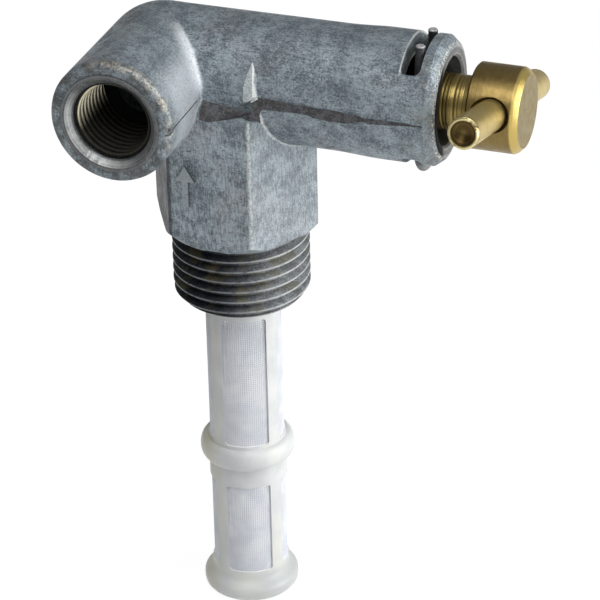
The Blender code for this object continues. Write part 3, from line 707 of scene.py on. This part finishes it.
def castGrainGroup():
    # Mottled skin of a casting: patches, a crisp fine grain, dark dashes and pits; places are in millimetres
    inputs = {"Place": None, "Patches": 0.22, "Dashes": 1.0, "Pits": 1.0}
    tree, given, result = effect("castGrain", inputs, ("Tone", "Dark", "Height"))
    place = given["Place"]
    broad = spread(noise(place, given["Patches"]), 0.34, 0.66)
    middle = spread(noise(place, 0.75, 3.0), 0.36, 0.64)
    fine = spread(noise(place, 3.3, 2.0), 0.33, 0.67)
    gritty = noise(place, 8.0, 2.0)
    # Scratches run upright on the hexagon and lengthwise on the barrel, which is finer and less drawn
    onBarrel = spread(node("SeparateXYZ", {0: place}).outputs[2], 22.5, 24.5)
    along = tint(onBarrel, stretched(place, (3.6, 3.6, 0.7)), stretched(place, (0.6, 3.4, 3.4)))
    streak = spread(noise(along, 1.0, 3.0, 0.65), 0.34, 0.66)
    drawn = scaled(onBarrel, -0.16, 0.3)
    speckled = scaled(onBarrel, 0.13, 0.18)
    tone = times(broad, 0.26)
    for part, weight in ((middle, 0.18), (fine, speckled), (streak, drawn), (gritty, 0.14)):
        tone = scaled(part, weight, tone)
    tone = node("MapRange", {"Value": tone, "From Min": 0.3, "From Max": 0.76}).outputs["Result"]
    slanted = noise(stretched(place, (0.8, 3.4, 3.4), (0.5, 0.9, 0.4)), 1.3, 3.0)
    crossed = noise(stretched(place, (0.9, 4.2, 4.2), (0.1, -0.7, 1.2)), 1.2, 3.0)
    dashes = times(highest(spread(slanted, 0.59, 0.7), spread(crossed, 0.6, 0.71)), given["Dashes"])
    cells = node("TexVoronoi", {"Vector": place, "Scale": 1.7, "Randomness": 1.0}).outputs["Distance"]
    pits = times(spread(cells, 0.2, 0.1), given["Pits"], spread(noise(place, 0.5, 2.0), 0.46, 0.6))
    dark = highest(dashes, pits, clamp=True)
    fill(result, {"Tone": tone, "Dark": dark, "Height": scaled(dark, -0.7, scaled(streak, 0.4, fine))})
    return tree


def toolMarksGroup():
    # Fine rings left by a lathe, told by the distance along or across its axis in millimetres
    inputs = {"Station": 0.0, "Place": None, "Pitch": 5.0}
    tree, given, result = effect("toolMarks", inputs, ("Mark", "Height"))
    sway = scaled(noise(given["Place"], 0.35, 1.0), 0.08, given["Station"])
    coarse = lines(sway, given["Pitch"], 1.0)
    close = lines(sway, times(given["Pitch"], 3.7), 2.0)
    height = scaled(close, 0.4, coarse)
    fill(result, {"Mark": spread(height, 0.45, 0.95), "Height": height})
    return tree


def edgeBandGroup():
    # A ragged band around one value of a distance, for a worn edge or a painted edge highlight
    inputs = {"Distance": 0.0, "Centre": 0.0, "Width": 0.3, "Place": None, "Ragged": 0.3}
    tree, given, result = effect("edgeBand", inputs, ("Mask",))
    wobble = times(minus(noise(given["Place"], 1.9, 4.0, 0.7), 0.5), given["Ragged"])
    off = offset(calc("ADD", given["Distance"], wobble), given["Centre"])
    mask = spread(calc("DIVIDE", off, given["Width"]), 1.0, 0.35)
    breaks = spread(noise(given["Place"], 0.8, 3.0), 0.36, 0.52)
    fill(result, {"Mask": times(mask, breaks)})
    return tree


grainEffect = castGrainGroup()
marksEffect = toolMarksGroup()
bandEffect = edgeBandGroup()


def castGrain(place, **inputs):
    return node("Group", {"Place": place, **inputs}, node_tree=grainEffect).outputs


def toolMarks(place, station, pitch):
    return node("Group", {"Place": place, "Station": station, "Pitch": pitch}, node_tree=marksEffect).outputs


def edgeBand(place, distance, centre, width, ragged):
    inputs = {"Place": place, "Distance": distance, "Centre": centre, "Width": width, "Ragged": ragged}
    return node("Group", inputs, node_tree=bandEffect).outputs["Mask"]


def finish(name):
    # A new material with its place in millimetres, whole and as x, y, z
    material = bpy.data.materials.new(name)
    material.use_nodes = True
    coordinates = node("TexCoord", {}, material.node_tree).outputs["Object"]
    place = node("VectorMath", {0: coordinates, "Scale": 1000.0}, operation="SCALE").outputs[0]
    return material, place, node("SeparateXYZ", {0: place}).outputs


def connect(material, colour, roughness, metallic, normal, others=None):
    inputs = material.node_tree.nodes["Principled BSDF"].inputs
    fill(inputs, {"Base Color": colour, "Roughness": roughness, "Metallic": metallic, "Normal": normal})
    fill(inputs, others or {})
    return material


def milky(weight, deep):
    return {"Subsurface Weight": weight, "Subsurface Radius": (deep * mm, deep * mm, deep * mm)}


# Places of wear and of painted light and shade on the casting: distances of the hexagon's flats, its corner,
# and the rims and lines
wearAndPaintedLightPlaces = {
    "rightFlat": 11.43, "leftFlat": 12.37, "cornerX": 6.33, "cornerY": -11.9, "rimR": 9.6, "rootR": 9.9,
    "ribX": 6.0, "ribLine": 13.5, "beadR": 8.85, "lipR": 7.35, "ridgeR": 8.45,
}


def castMetal():
    material, place, (x, y, z) = finish("castMetal")
    grain = castGrain(place)
    tone = grain["Tone"]
    colour = tint(tone, (0.13, 0.16, 0.181), (0.348, 0.408, 0.44))
    # Faint purple-brown and greenish clouds, as left by handling and the mould
    warm = tint(tone, (0.14, 0.125, 0.135), (0.33, 0.315, 0.325))
    colour = coat(colour, warm, spread(noise(place, 0.1, 3.0), 0.5, 0.66, 0.0, 0.34))
    green = tint(tone, (0.13, 0.155, 0.14), (0.38, 0.42, 0.39))
    colour = coat(colour, green, spread(noise(place, 0.17, 3.0), 0.4, 0.3, 0.0, 0.3))
    portR = distanceFromAxis(x, z, portX, barrelZ)
    barrelR = distanceFromAxis(y, z, 0.0, barrelZ)
    rightFlat = offset(scaled(x, 0.866, times(y, -0.5)), wearAndPaintedLightPlaces["rightFlat"])
    leftFlat = offset(scaled(x, -0.866, times(y, -0.5)), wearAndPaintedLightPlaces["leftFlat"])
    # The outlet's rim is rubbed on its upper right, and browned elsewhere
    nearPort = spread(y, -20.6, -21.6)
    upperRight = spread(calc("ADD", minus(x, portX), minus(z, barrelZ)), 3.0, 9.0)
    browned = spread(noise(place, 0.55, 4.0, 0.65), 0.42, 0.6, 0.15, 0.75)
    colour = coat(colour, (0.07, 0.067, 0.062), nearPort, browned)
    rim = edgeBand(place, portR, wearAndPaintedLightPlaces["rimR"], 0.6, 1.2)
    scuffed = spread(noise(place, 2.6, 3.0, 0.7), 0.4, 0.6, 0.15, 0.8)
    colour = coat(colour, (0.55, 0.52, 0.45), rim, nearPort, upperRight, scuffed)
    # Painted light makes the right-hand flat lighter, and painted shade darkens the left-hand flat under the
    # outlet
    colour = coat(colour, (0.62, 0.66, 0.68), spread(rightFlat, 0.5, 0.2), spread(z, 23.0, 20.0), 0.16)
    colour = coat(colour, (0.04, 0.04, 0.043), spread(leftFlat, 0.7, 0.3), spread(z, 22.0, 19.0), 0.8)
    # Worn and chipped corner of the hexagon
    corner = edgeBand(place, distanceFromAxis(x, y, wearAndPaintedLightPlaces["cornerX"], wearAndPaintedLightPlaces["cornerY"]), 0.0, 0.42, 0.55)
    chipsAndHighlightBreaks = spread(noise(place, 1.7, 3.0, 0.7), 0.36, 0.56, 0.25, 0.85)
    colour = coat(colour, (0.6, 0.62, 0.6), corner, chipsAndHighlightBreaks)
    # Painted highlight at the root where the right-hand flat runs up into the barrel
    root = spread(highest(rightFlat, offset(barrelR, wearAndPaintedLightPlaces["rootR"])), 0.36, 0.12)
    colour = coat(colour, (0.68, 0.71, 0.71), root, spread(z, 15.0, 16.0), spread(z, 25.2, 24.8), chipsAndHighlightBreaks)
    # Painted highlights on the rib, its ridge line and the outlet's flank near the inner corner
    rib = times(spread(barrelR, 9.88, 9.96), around(x, wearAndPaintedLightPlaces["ribX"], 1.5, 1.3))
    rib = times(rib, times(spread(z, 25.6, 26.2), spread(y, -7.0, -7.4)))
    ribLine = scaled(z, 0.238, x)
    ridge = times(rib, around(ribLine, wearAndPaintedLightPlaces["ribLine"], 0.28, 0.12))
    rib = times(rib, spread(ribLine, wearAndPaintedLightPlaces["ribLine"], 13.35, 0.15, 1.0))
    colour = coat(colour, (0.86, 0.89, 0.88), rib, scaled(tone, 0.4, 0.6))
    colour = coat(colour, (0.8, 0.82, 0.81), ridge, 0.85)
    flank = times(spread(x, -6.5, -3.2), window(y, (-22.0, -17.0), (-5.5, -8.0)))
    flank = times(flank, times(spread(portR, 10.15, 9.95), spread(z, 16.5, 20.0)))
    colour = coat(colour, (0.66, 0.7, 0.73), flank, 0.6)
    # Painted highlight along the line where outlet and barrel meet, fading down the outlet's side
    glow = window(calc("ADD", minus(x, portX), y), (-4.6, -0.6), (1.1, 0.1))
    glow = times(glow, times(glow, window(z, (25.5, 28.5), (35.4, 33.6))))
    colour = coat(colour, (0.84, 0.88, 0.91), glow, scaled(chipsAndHighlightBreaks, 0.3, 0.65))
    # Raised arrow: painted shade round its foot, rubbed on top
    arrow = times(spread(x, -2.3, -2.5), window(z, (15.0, 14.9), (7.3, 7.4)), spread(x, -6.3, -6.2))
    arrow = times(arrow, spread(y, -11.93, -11.98))
    colour = coat(colour, (0.05, 0.055, 0.06), arrow, 0.8)
    colour = coat(colour, (0.3, 0.33, 0.35), arrow, spread(y, -12.42, -12.47))
    # Brownish handling stain towards the mouth, and the mouth end is darker towards the bottom
    stain = spread(noise(place, 0.5, 4.0, 0.65), 0.5, 0.68)
    colour = coat(colour, (0.2, 0.175, 0.125), stain, spread(x, 28.0, 34.0), 0.5)
    colour = coat(colour, (0.1, 0.102, 0.1), spread(x, 32.8, 34.2), spread(z, 34.0, 27.0), 0.45)
    # Nicked bead round the mouth, and painted highlights on the slot's arrises
    bead = times(around(barrelR, wearAndPaintedLightPlaces["beadR"], 0.5, 0.2), spread(x, 33.6, 34.3))
    nicks = noise(place, 3.4, 2.0)
    colour = coat(colour, (0.66, 0.65, 0.6), bead, spread(nicks, 0.5, 0.6, 0.0, 0.85))
    colour = coat(colour, (0.05, 0.05, 0.045), bead, spread(nicks, 0.44, 0.36, 0.0, 0.8))
    arrisHighlight = times(highest(spread(barrelR, 9.75, 9.9), spread(barrelR, 7.5, 7.2)), spread(z, 32.35, 32.7))
    colour = coat(colour, (0.72, 0.74, 0.72), around(x, castSizes["slotNear"], 0.2, 0.1), arrisHighlight, 0.8)
    colour = coat(colour, (0.035, 0.04, 0.048), grain["Dark"], 0.75)
    normal = relief(grain["Height"], 0.4, 0.1)
    return connect(material, colour, spread(tone, 0.0, 1.0, 0.6, 0.44), 0.45, normal)


def trimmedZinc():
    # Sheared flash along the parting line: dark, brown and drawn in fine upright scratches
    material, place, (x, y, z) = finish("trimmedZinc")
    grain = castGrain(place, Patches=0.7, Dashes=0.4)
    scratch = noise(stretched(place, (5.0, 1.0, 0.5)), 1.0, 3.0, 0.65)
    patchy = scaled(scratch, 0.45, times(grain["Tone"], 0.55))
    colour = tint(spread(patchy, 0.25, 0.75), (0.034, 0.035, 0.038), (0.105, 0.106, 0.112))
    ends = highest(spread(x, 1.0, -1.0), around(x, 7.5, 0.4, 0.2))
    brown = spread(noise(place, 0.6, 3.0), 0.42, 0.64, 0.1, 0.7)
    colour = coat(colour, (0.06, 0.042, 0.034), brown, scaled(ends, 0.7, 0.2))
    colour = coat(colour, (0.02, 0.02, 0.02), grain["Dark"], 0.6)
    return connect(material, colour, 0.55, 0.35, relief(calc("ADD", scratch, grain["Height"]), 0.4, 0.06))


def machinedZinc():
    # Turned faces of the casting: the outlet's ring, the mouth's ring and the bores
    material, place, (x, y, z) = finish("machinedZinc")
    portR = distanceFromAxis(x, z, portX, barrelZ)
    mouthR = distanceFromAxis(y, z, 0.0, barrelZ)
    atPort = spread(y, -11.5, -12.0)
    marks = toolMarks(place, scaled(minus(portR, mouthR), atPort, mouthR), 3.5)
    grain = castGrain(place, Patches=0.45, Dashes=0.6)
    colour = tint(marks["Mark"], (0.075, 0.08, 0.086), (0.15, 0.155, 0.16))
    colour = coat(colour, (0.26, 0.26, 0.245), grain["Tone"], 0.4)
    colour = coat(colour, (0.03, 0.03, 0.03), grain["Dark"], 0.6)
    # Painted highlight on the countersink's lower left
    lowerLeft = spread(calc("ADD", minus(x, portX), minus(z, barrelZ)), 1.0, -7.0)
    sink = times(window(portR, (6.45, 6.7), (7.5, 7.25)), atPort)
    sinkHighlight = spread(noise(place, 1.1, 4.0, 0.65), 0.3, 0.6, 0.45, 0.8)
    sinkHighlight = times(sinkHighlight, scaled(marks["Mark"], 0.45, 0.7))
    colour = coat(colour, (0.56, 0.565, 0.56), sink, lowerLeft, sinkHighlight)
    # Painted highlights on the mouth ring's lip and ridge
    lip = edgeBand(place, mouthR, wearAndPaintedLightPlaces["lipR"], 0.35, 0.35)
    ridge = edgeBand(place, mouthR, wearAndPaintedLightPlaces["ridgeR"], 0.22, 0.3)
    colour = coat(colour, (0.42, 0.42, 0.39), highest(lip, ridge), spread(x, 33.6, 34.4), 0.45)
    # Painted shade darkens the bores as they get deeper
    outlet = times(spread(y, -21.5, -17.5), spread(portR, 6.8, 6.4), atPort)
    mouth = times(spread(x, 34.0, 30.0), spread(mouthR, 7.6, 7.0))
    deep = highest(highest(outlet, mouth), window(y, (-12.5, -11.0), (-3.0, -5.0)))
    colour = coat(colour, (0.006, 0.006, 0.007), deep, 0.93)
    normal = relief(marks["Height"], 0.3, 0.05, relief(grain["Height"], 0.25, 0.08))
    return connect(material, colour, scaled(deep, 0.35, 0.42), 0.5, normal, {"Specular IOR Level": 0.15})


def tankThreadZinc():
    # Cut thread: thin rubbed crests with painted highlights over smooth blue-grey flanks, with an oily tint
    # in places
    material, place, (x, y, z) = finish("tankThreadZinc")
    radius = distanceFromAxis(x, y, 0.0, 0.0)
    crest = spread(radius, threadSizes["crest"] - 0.12, threadSizes["crest"] - 0.02)
    grain = castGrain(place, Patches=0.5, Dashes=0.4)
    # Painted shade on the left and towards the tip, and painted light on the right
    side = times(spread(scaled(y, 0.35, x), -4.5, 8.5), spread(z, -14.9, -13.9, 0.15, 1.0))
    dark = tint(side, (0.011, 0.012, 0.016), (0.13, 0.14, 0.155))
    light = tint(side, (0.036, 0.04, 0.048), (0.38, 0.4, 0.41))
    rubbedCrestHighlight = tint(side, (0.16, 0.17, 0.18), (0.5, 0.52, 0.52))
    colour = tint(grain["Tone"], dark, light)
    colour = coat(colour, light, toolMarks(place, radius, 6.0)["Mark"], 0.3)
    colour = coat(colour, (0.15, 0.13, 0.06), spread(noise(place, 0.26, 3.0), 0.5, 0.62, 0.0, 0.5))
    colour = coat(colour, rubbedCrestHighlight, crest, spread(noise(place, 0.9, 3.0), 0.32, 0.5, 0.2, 0.9))
    normal = relief(grain["Height"], 0.25, 0.06)
    return connect(material, colour, 0.45, 0.5, normal, {"Specular IOR Level": 0.2})


def outletThreadZinc():
    # Inner thread: brassy painted highlights on the crests on the side that the light reaches, and painted
    # shade, nearly black, elsewhere
    material, place, (x, y, z) = finish("outletThreadZinc")
    crest = spread(distanceFromAxis(x, z, portX, barrelZ), 6.0, 5.8)
    paintedLitSide = spread(scaled(minus(z, barrelZ), -0.9, x), portX - 2.5, portX - 6.5, 0.05, 1.0)
    grain = castGrain(place, Patches=0.6, Dashes=0.4)
    colour = tint(grain["Tone"], (0.006, 0.006, 0.008), (0.02, 0.019, 0.015))
    colour = coat(colour, (0.82, 0.76, 0.56), crest, paintedLitSide)
    roughness = spread(paintedLitSide, 0.0, 1.0, 0.75, 0.35)
    normal = relief(grain["Height"], 0.2, 0.05)
    return connect(material, colour, roughness, 0.5, normal, {"Specular IOR Level": 0.1})


def shade(tone, share):
    return tuple(share * c for c in tone)


def turnedBrass(name, side, rimHighlight, faceTone, bar=False):
    material, place, (x, y, z) = finish(name)
    if bar:
        rise = minus(z, barrelZ)
        along = scaled(y, barAxis.y, times(rise, barAxis.z))
        squares = scaled(y, y, times(rise, rise))
        dx = minus(x, barAt.x)
        across = calc("SQRT", scaled(dx, dx, minus(squares, times(along, along))))
        onEnd = spread(calc("ABSOLUTE", along), 19.75, 20.05)
        rings = (0.6, 1.35)
        rim = times(edgeBand(place, across, 2.2, 0.35, 0.1), onEnd)
    else:
        along = x
        across = distanceFromAxis(y, z, 0.0, barrelZ)
        onEnd = spread(x, headFace - 0.12, headFace - 0.04)
        rings = (0.93, 1.06)
        rim = times(spread(x, headFace - 1.25, headFace - 1.0), spread(across, 5.55, 5.8))
    marks = toolMarks(place, along, 4.5)
    faceMarks = toolMarks(place, across, 3.0)
    mottle = noise(place, 0.7, 5.0, 0.65)
    colour = tint(marks["Mark"], shade(side, 0.78), shade(side, 1.25))
    if not bar:
        # The head's side is painted a darker brown as shade, and the stem stays brighter
        browned = tint(noise(place, 1.3, 4.0, 0.65), (0.15, 0.1, 0.03), (0.27, 0.19, 0.072))
        colour = coat(colour, browned, spread(x, 38.9, 39.1, 0.0, 0.8))
    endColour = tint(faceMarks["Mark"], shade(faceTone, rings[0]), shade(faceTone, rings[1]))
    colour = coat(colour, endColour, onEnd)
    colour = coat(colour, shade(side, 0.5), spread(mottle, 0.5, 0.75, 0.0, 0.35))
    # Painted highlight on the rim's bevel
    colour = coat(colour, rimHighlight, rim)
    height = tint(onEnd, marks["Height"], faceMarks["Height"])
    return connect(material, colour, spread(mottle, 0.3, 0.7, 0.3, 0.45), 0.9, relief(height, 0.35, 0.06))


def zincWire():
    material, place, (x, y, z) = finish("zincWire")
    grain = castGrain(place, Patches=0.8)
    colour = tint(grain["Tone"], (0.3, 0.3, 0.31), (0.55, 0.55, 0.54))
    colour = coat(colour, (0.05, 0.05, 0.05), grain["Dark"], 0.6)
    # Only the sheared ends keep a light colour; painted shade darkens the rest of the wire down in the slot,
    # a little less on the bend
    slotShade = spread(z, clipHigh.z - 0.03, clipHigh.z - 0.3)
    colour = coat(colour, (0.02, 0.021, 0.024), slotShade, 0.92, spread(z, 15.0, 18.0, 0.55, 1.0))
    normal = relief(grain["Height"], 0.2, 0.05)
    return connect(material, colour, 0.5, 0.4, normal, {"Specular IOR Level": 0.15})


def mouldedNylon():
    material, place, (x, y, z) = finish("mouldedNylon")
    cloud = spread(noise(place, 0.16, 4.0, 0.55), 0.35, 0.65)
    colour = tint(cloud, (0.6, 0.614, 0.618), (0.7, 0.714, 0.712))
    # Faint amber cast that fuel leaves in clouds, with painted shade as a stronger amber towards the left
    fuelTintAndShade = spread(noise(place, 0.08, 2.0), 0.42, 0.66, 0.05, 0.4)
    fuelTintAndShade = calc("ADD", fuelTintAndShade, spread(x, -1.5, -5.5, 0.0, 0.6), clamp=True)
    colour = coat(colour, (0.6, 0.585, 0.48), fuelTintAndShade)
    # Painted light makes the cut sides of the windows near white, and the foot is darker towards the right
    radius = distanceFromAxis(x, y, 0.0, 0.0)
    colour = coat(colour, (0.95, 0.95, 0.94), window(radius, (6.33, 6.26), (5.85, 5.9)))
    colour = coat(colour, (0.42, 0.44, 0.45), spread(z, -63.5, -65.5), spread(x, 0.5, 5.0), 0.6)
    # Thin flow lines along the tube, and specks
    flow = noise(stretched(place, (2.2, 2.2, 0.06)), 1.0, 3.0)
    colour = coat(colour, (0.5, 0.51, 0.53), spread(flow, 0.52, 0.75, 0.0, 0.2))
    colour = coat(colour, (0.4, 0.39, 0.33), spread(noise(place, 3.2, 2.0, 0.5), 0.7, 0.76, 0.0, 0.3))
    normal = relief(scaled(flow, 0.5, noise(place, 3.0, 3.0)), 0.12, 0.08)
    return connect(material, colour, spread(flow, 0.3, 0.7, 0.32, 0.46), 0.0, normal, milky(0.5, 3))


def wovenGauze():
    material, place = finish("wovenGauze")[:2]
    colour = tint(spread(noise(place, 0.3, 3.0), 0.35, 0.65), (0.68, 0.7, 0.745), (0.77, 0.785, 0.81))
    return connect(material, colour, 0.5, 0.0, relief(noise(place, 8.0, 2.0), 0.1, 0.02), milky(0.4, 1))


def rubber(name, tone):
    material, place = finish(name)[:2]
    bloom = noise(place, 1.4, 5.0, 0.7)
    colour = tint(spread(bloom, 0.4, 0.75), tone, tuple(2.4 * c + 0.01 for c in tone))
    normal = relief(noise(place, 9.0, 2.0), 0.2, 0.03)
    return connect(material, colour, spread(bloom, 0.3, 0.7, 0.45, 0.7), 0.0, normal)


def onNotch(p):
    # The cut that took the hexagon's corner off under the rib
    start, end = Vector((5.3, -11.2)), Vector((7.5, castSizes["stripY"] + 0.05))
    along = (end - start).normalized()
    off = Vector((p.x, p.y)) - start
    return abs(off.cross(along)) < 0.03 and -0.1 < off.dot(along) < (end - start).length + 0.1


def onStrip(p, n):
    faces = (castSizes["stripY"] - 0.04, castSizes["stripY"] - 0.27)
    return p.x > 7 and min(abs(p.y - y) for y in faces) < 0.004 and 24 < p.z < 27 and n.y < -0.99


dress(body, castMetal(), machinedZinc(), trimmedZinc())
machined, trimmed = 1, 2
paint(body, machined, lambda p, n: p.y < 0.1 - portReach or p.x > mouthX - 0.05)
paint(body, machined, lambda p, n: hypot(p.x - portX, p.z - barrelZ) < 7.5 and p.y < -4)
paint(body, machined, lambda p, n: hypot(p.y, p.z - barrelZ) < 7.3 and p.x > -6)
paint(body, trimmed, onStrip)
paint(body, trimmed, lambda p, n: p.x > 7 and n.x < -0.9 and p.y < -9.3 and 23 < p.z < 27.2)
paint(body, trimmed, lambda p, n: (
    -1.7 < p.x < 6.9 and -12.2 < p.y < -9.8 and 22.4 < p.z < 25.3 and n.z > 0.25))
paint(body, trimmed, lambda p, n: onNotch(p) and 22.4 < p.z < 26.4)
# The walls of the seam's cut in the outlet, without its floor
seamLow, seamHigh = castSizes["seamLow"] - 0.03, castSizes["seamHigh"] + 0.02
paint(body, trimmed, lambda p, n: (
    -3.6 < p.x < -1.2 and -22.4 < p.y < -12 and seamLow < p.z < seamHigh and abs(n.x) < 0.999))
dress(tankThreadPiece, tankThreadZinc())
dress(outletThreadPiece, outletThreadZinc())
dress(spindle, turnedBrass("turnedBrass", (0.28, 0.21, 0.07), (0.56, 0.42, 0.13), (0.25, 0.185, 0.055)))
dress(bar, turnedBrass("barBrass", (0.56, 0.44, 0.17), (0.78, 0.66, 0.33), (0.085, 0.055, 0.016), bar=True))
dress(clip, zincWire())
dress(strainer, mouldedNylon())
dress(gauzePiece, wovenGauze())
for ring in ("o_ring_outer", "o_ring_inner"):
    frame["nodes"][ring].data.materials[0] = rubber("ringRubber" + ring[-5:], (0.02, 0.02, 0.022))
frame["nodes"]["nose_seal"].data.materials[0] = rubber("sealRubber", (0.03, 0.028, 0.026))
print("materials made")


# Floor, light and camera

def floorMaterial():
    # A pale floor that is lit, but glows white where the camera looks at it, directly or in the metal
    material = bpy.data.materials.new("studioFloor")
    material.use_nodes = True
    tree = material.node_tree
    tree.nodes.clear()
    diffuse = node("BsdfDiffuse", {"Color": (0.9, 0.9, 0.9)}, tree).outputs[0]
    glow = node("Emission", {"Color": (1, 1, 1), "Strength": 1.09}, tree).outputs[0]
    rays = node("LightPath", {}, tree).outputs
    seen = highest(highest(rays["Is Camera Ray"], rays["Is Glossy Ray"]), rays["Is Transmission Ray"])
    mixed = node("MixShader", {"Fac": times(seen, 0.85), 1: diffuse, 2: glow}).outputs[0]
    node("OutputMaterial", {"Surface": mixed})
    return material


nothingSelected()
bpy.ops.mesh.primitive_plane_add(size=6, location=(0, 0, (footZ - 0.05) * mm))
floor = named("studioFloor")
settle(floor)
dress(floor, floorMaterial())

world = bpy.data.worlds.new("studioWorld")
bpy.context.scene.world = world
world.use_nodes = True
# The studio is dimmer on the left
direction = node("TexCoord", {}, world.node_tree).outputs["Generated"]
sideways = node("SeparateXYZ", {0: direction}).outputs[0]
dimming = {"Value": sideways, "From Min": -1.0, "From Max": 1.0, "To Min": 0.17, "To Max": 0.38}
dimmed = node("MapRange", dimming).outputs[0]
fill(world.node_tree.nodes["Background"].inputs, {"Color": (0.95, 0.97, 1.0), "Strength": dimmed})


def softbox(name, place, size, watts):
    nothingSelected()
    target = Vector((5, 0, 0))
    bpy.ops.object.light_add(type="AREA", location=Vector(place) * mm)
    lamp = named(name)
    lamp.data.shape = "RECTANGLE"
    lamp.data.size, lamp.data.size_y = size[0] * mm, size[1] * mm
    lamp.data.energy = watts
    aim = (target - Vector(place)).normalized()
    lamp.rotation_euler = aim.to_track_quat("-Z", "Y").to_euler()


softbox("keyBox", (430, 20, 110), (340, 320), 1.9)
softbox("frontBox", (80, -230, 480), (320, 320), 1.35)

viewSizes = {
    "azimuth": 20.04, "height": 29.38, "roll": -1.31, "distance": 499.5, "focusPixels": 3107.9,
    "picturePixels": 600, "sensor": 36, "target": (9.81, 0, -13.35),
}
az, el, roll = (radians(viewSizes[k]) for k in ("azimuth", "height", "roll"))
back = Vector((sin(az) * cos(el), -cos(az) * cos(el), sin(el)))
right = Vector((cos(az), sin(az), 0))
up = back.cross(right)
tiltedRight = cos(roll) * right + sin(roll) * up
tiltedUp = cos(roll) * up - sin(roll) * right
eye = (Vector(viewSizes["target"]) + back * viewSizes["distance"]) * mm
turn = Matrix((tiltedRight, tiltedUp, back)).transposed().to_4x4()
camera = bpy.data.objects.new("studioCamera", bpy.data.cameras.new("studioCamera"))
bpy.context.collection.objects.link(camera)
camera.matrix_world = Matrix.Translation(eye) @ turn
camera.data.sensor_fit = "HORIZONTAL"
camera.data.sensor_width = viewSizes["sensor"]
camera.data.lens = viewSizes["focusPixels"] / viewSizes["picturePixels"] * viewSizes["sensor"]
camera.data.clip_start = 0.01
bpy.context.scene.camera = camera
bpy.context.scene.view_settings.view_transform = "Standard"
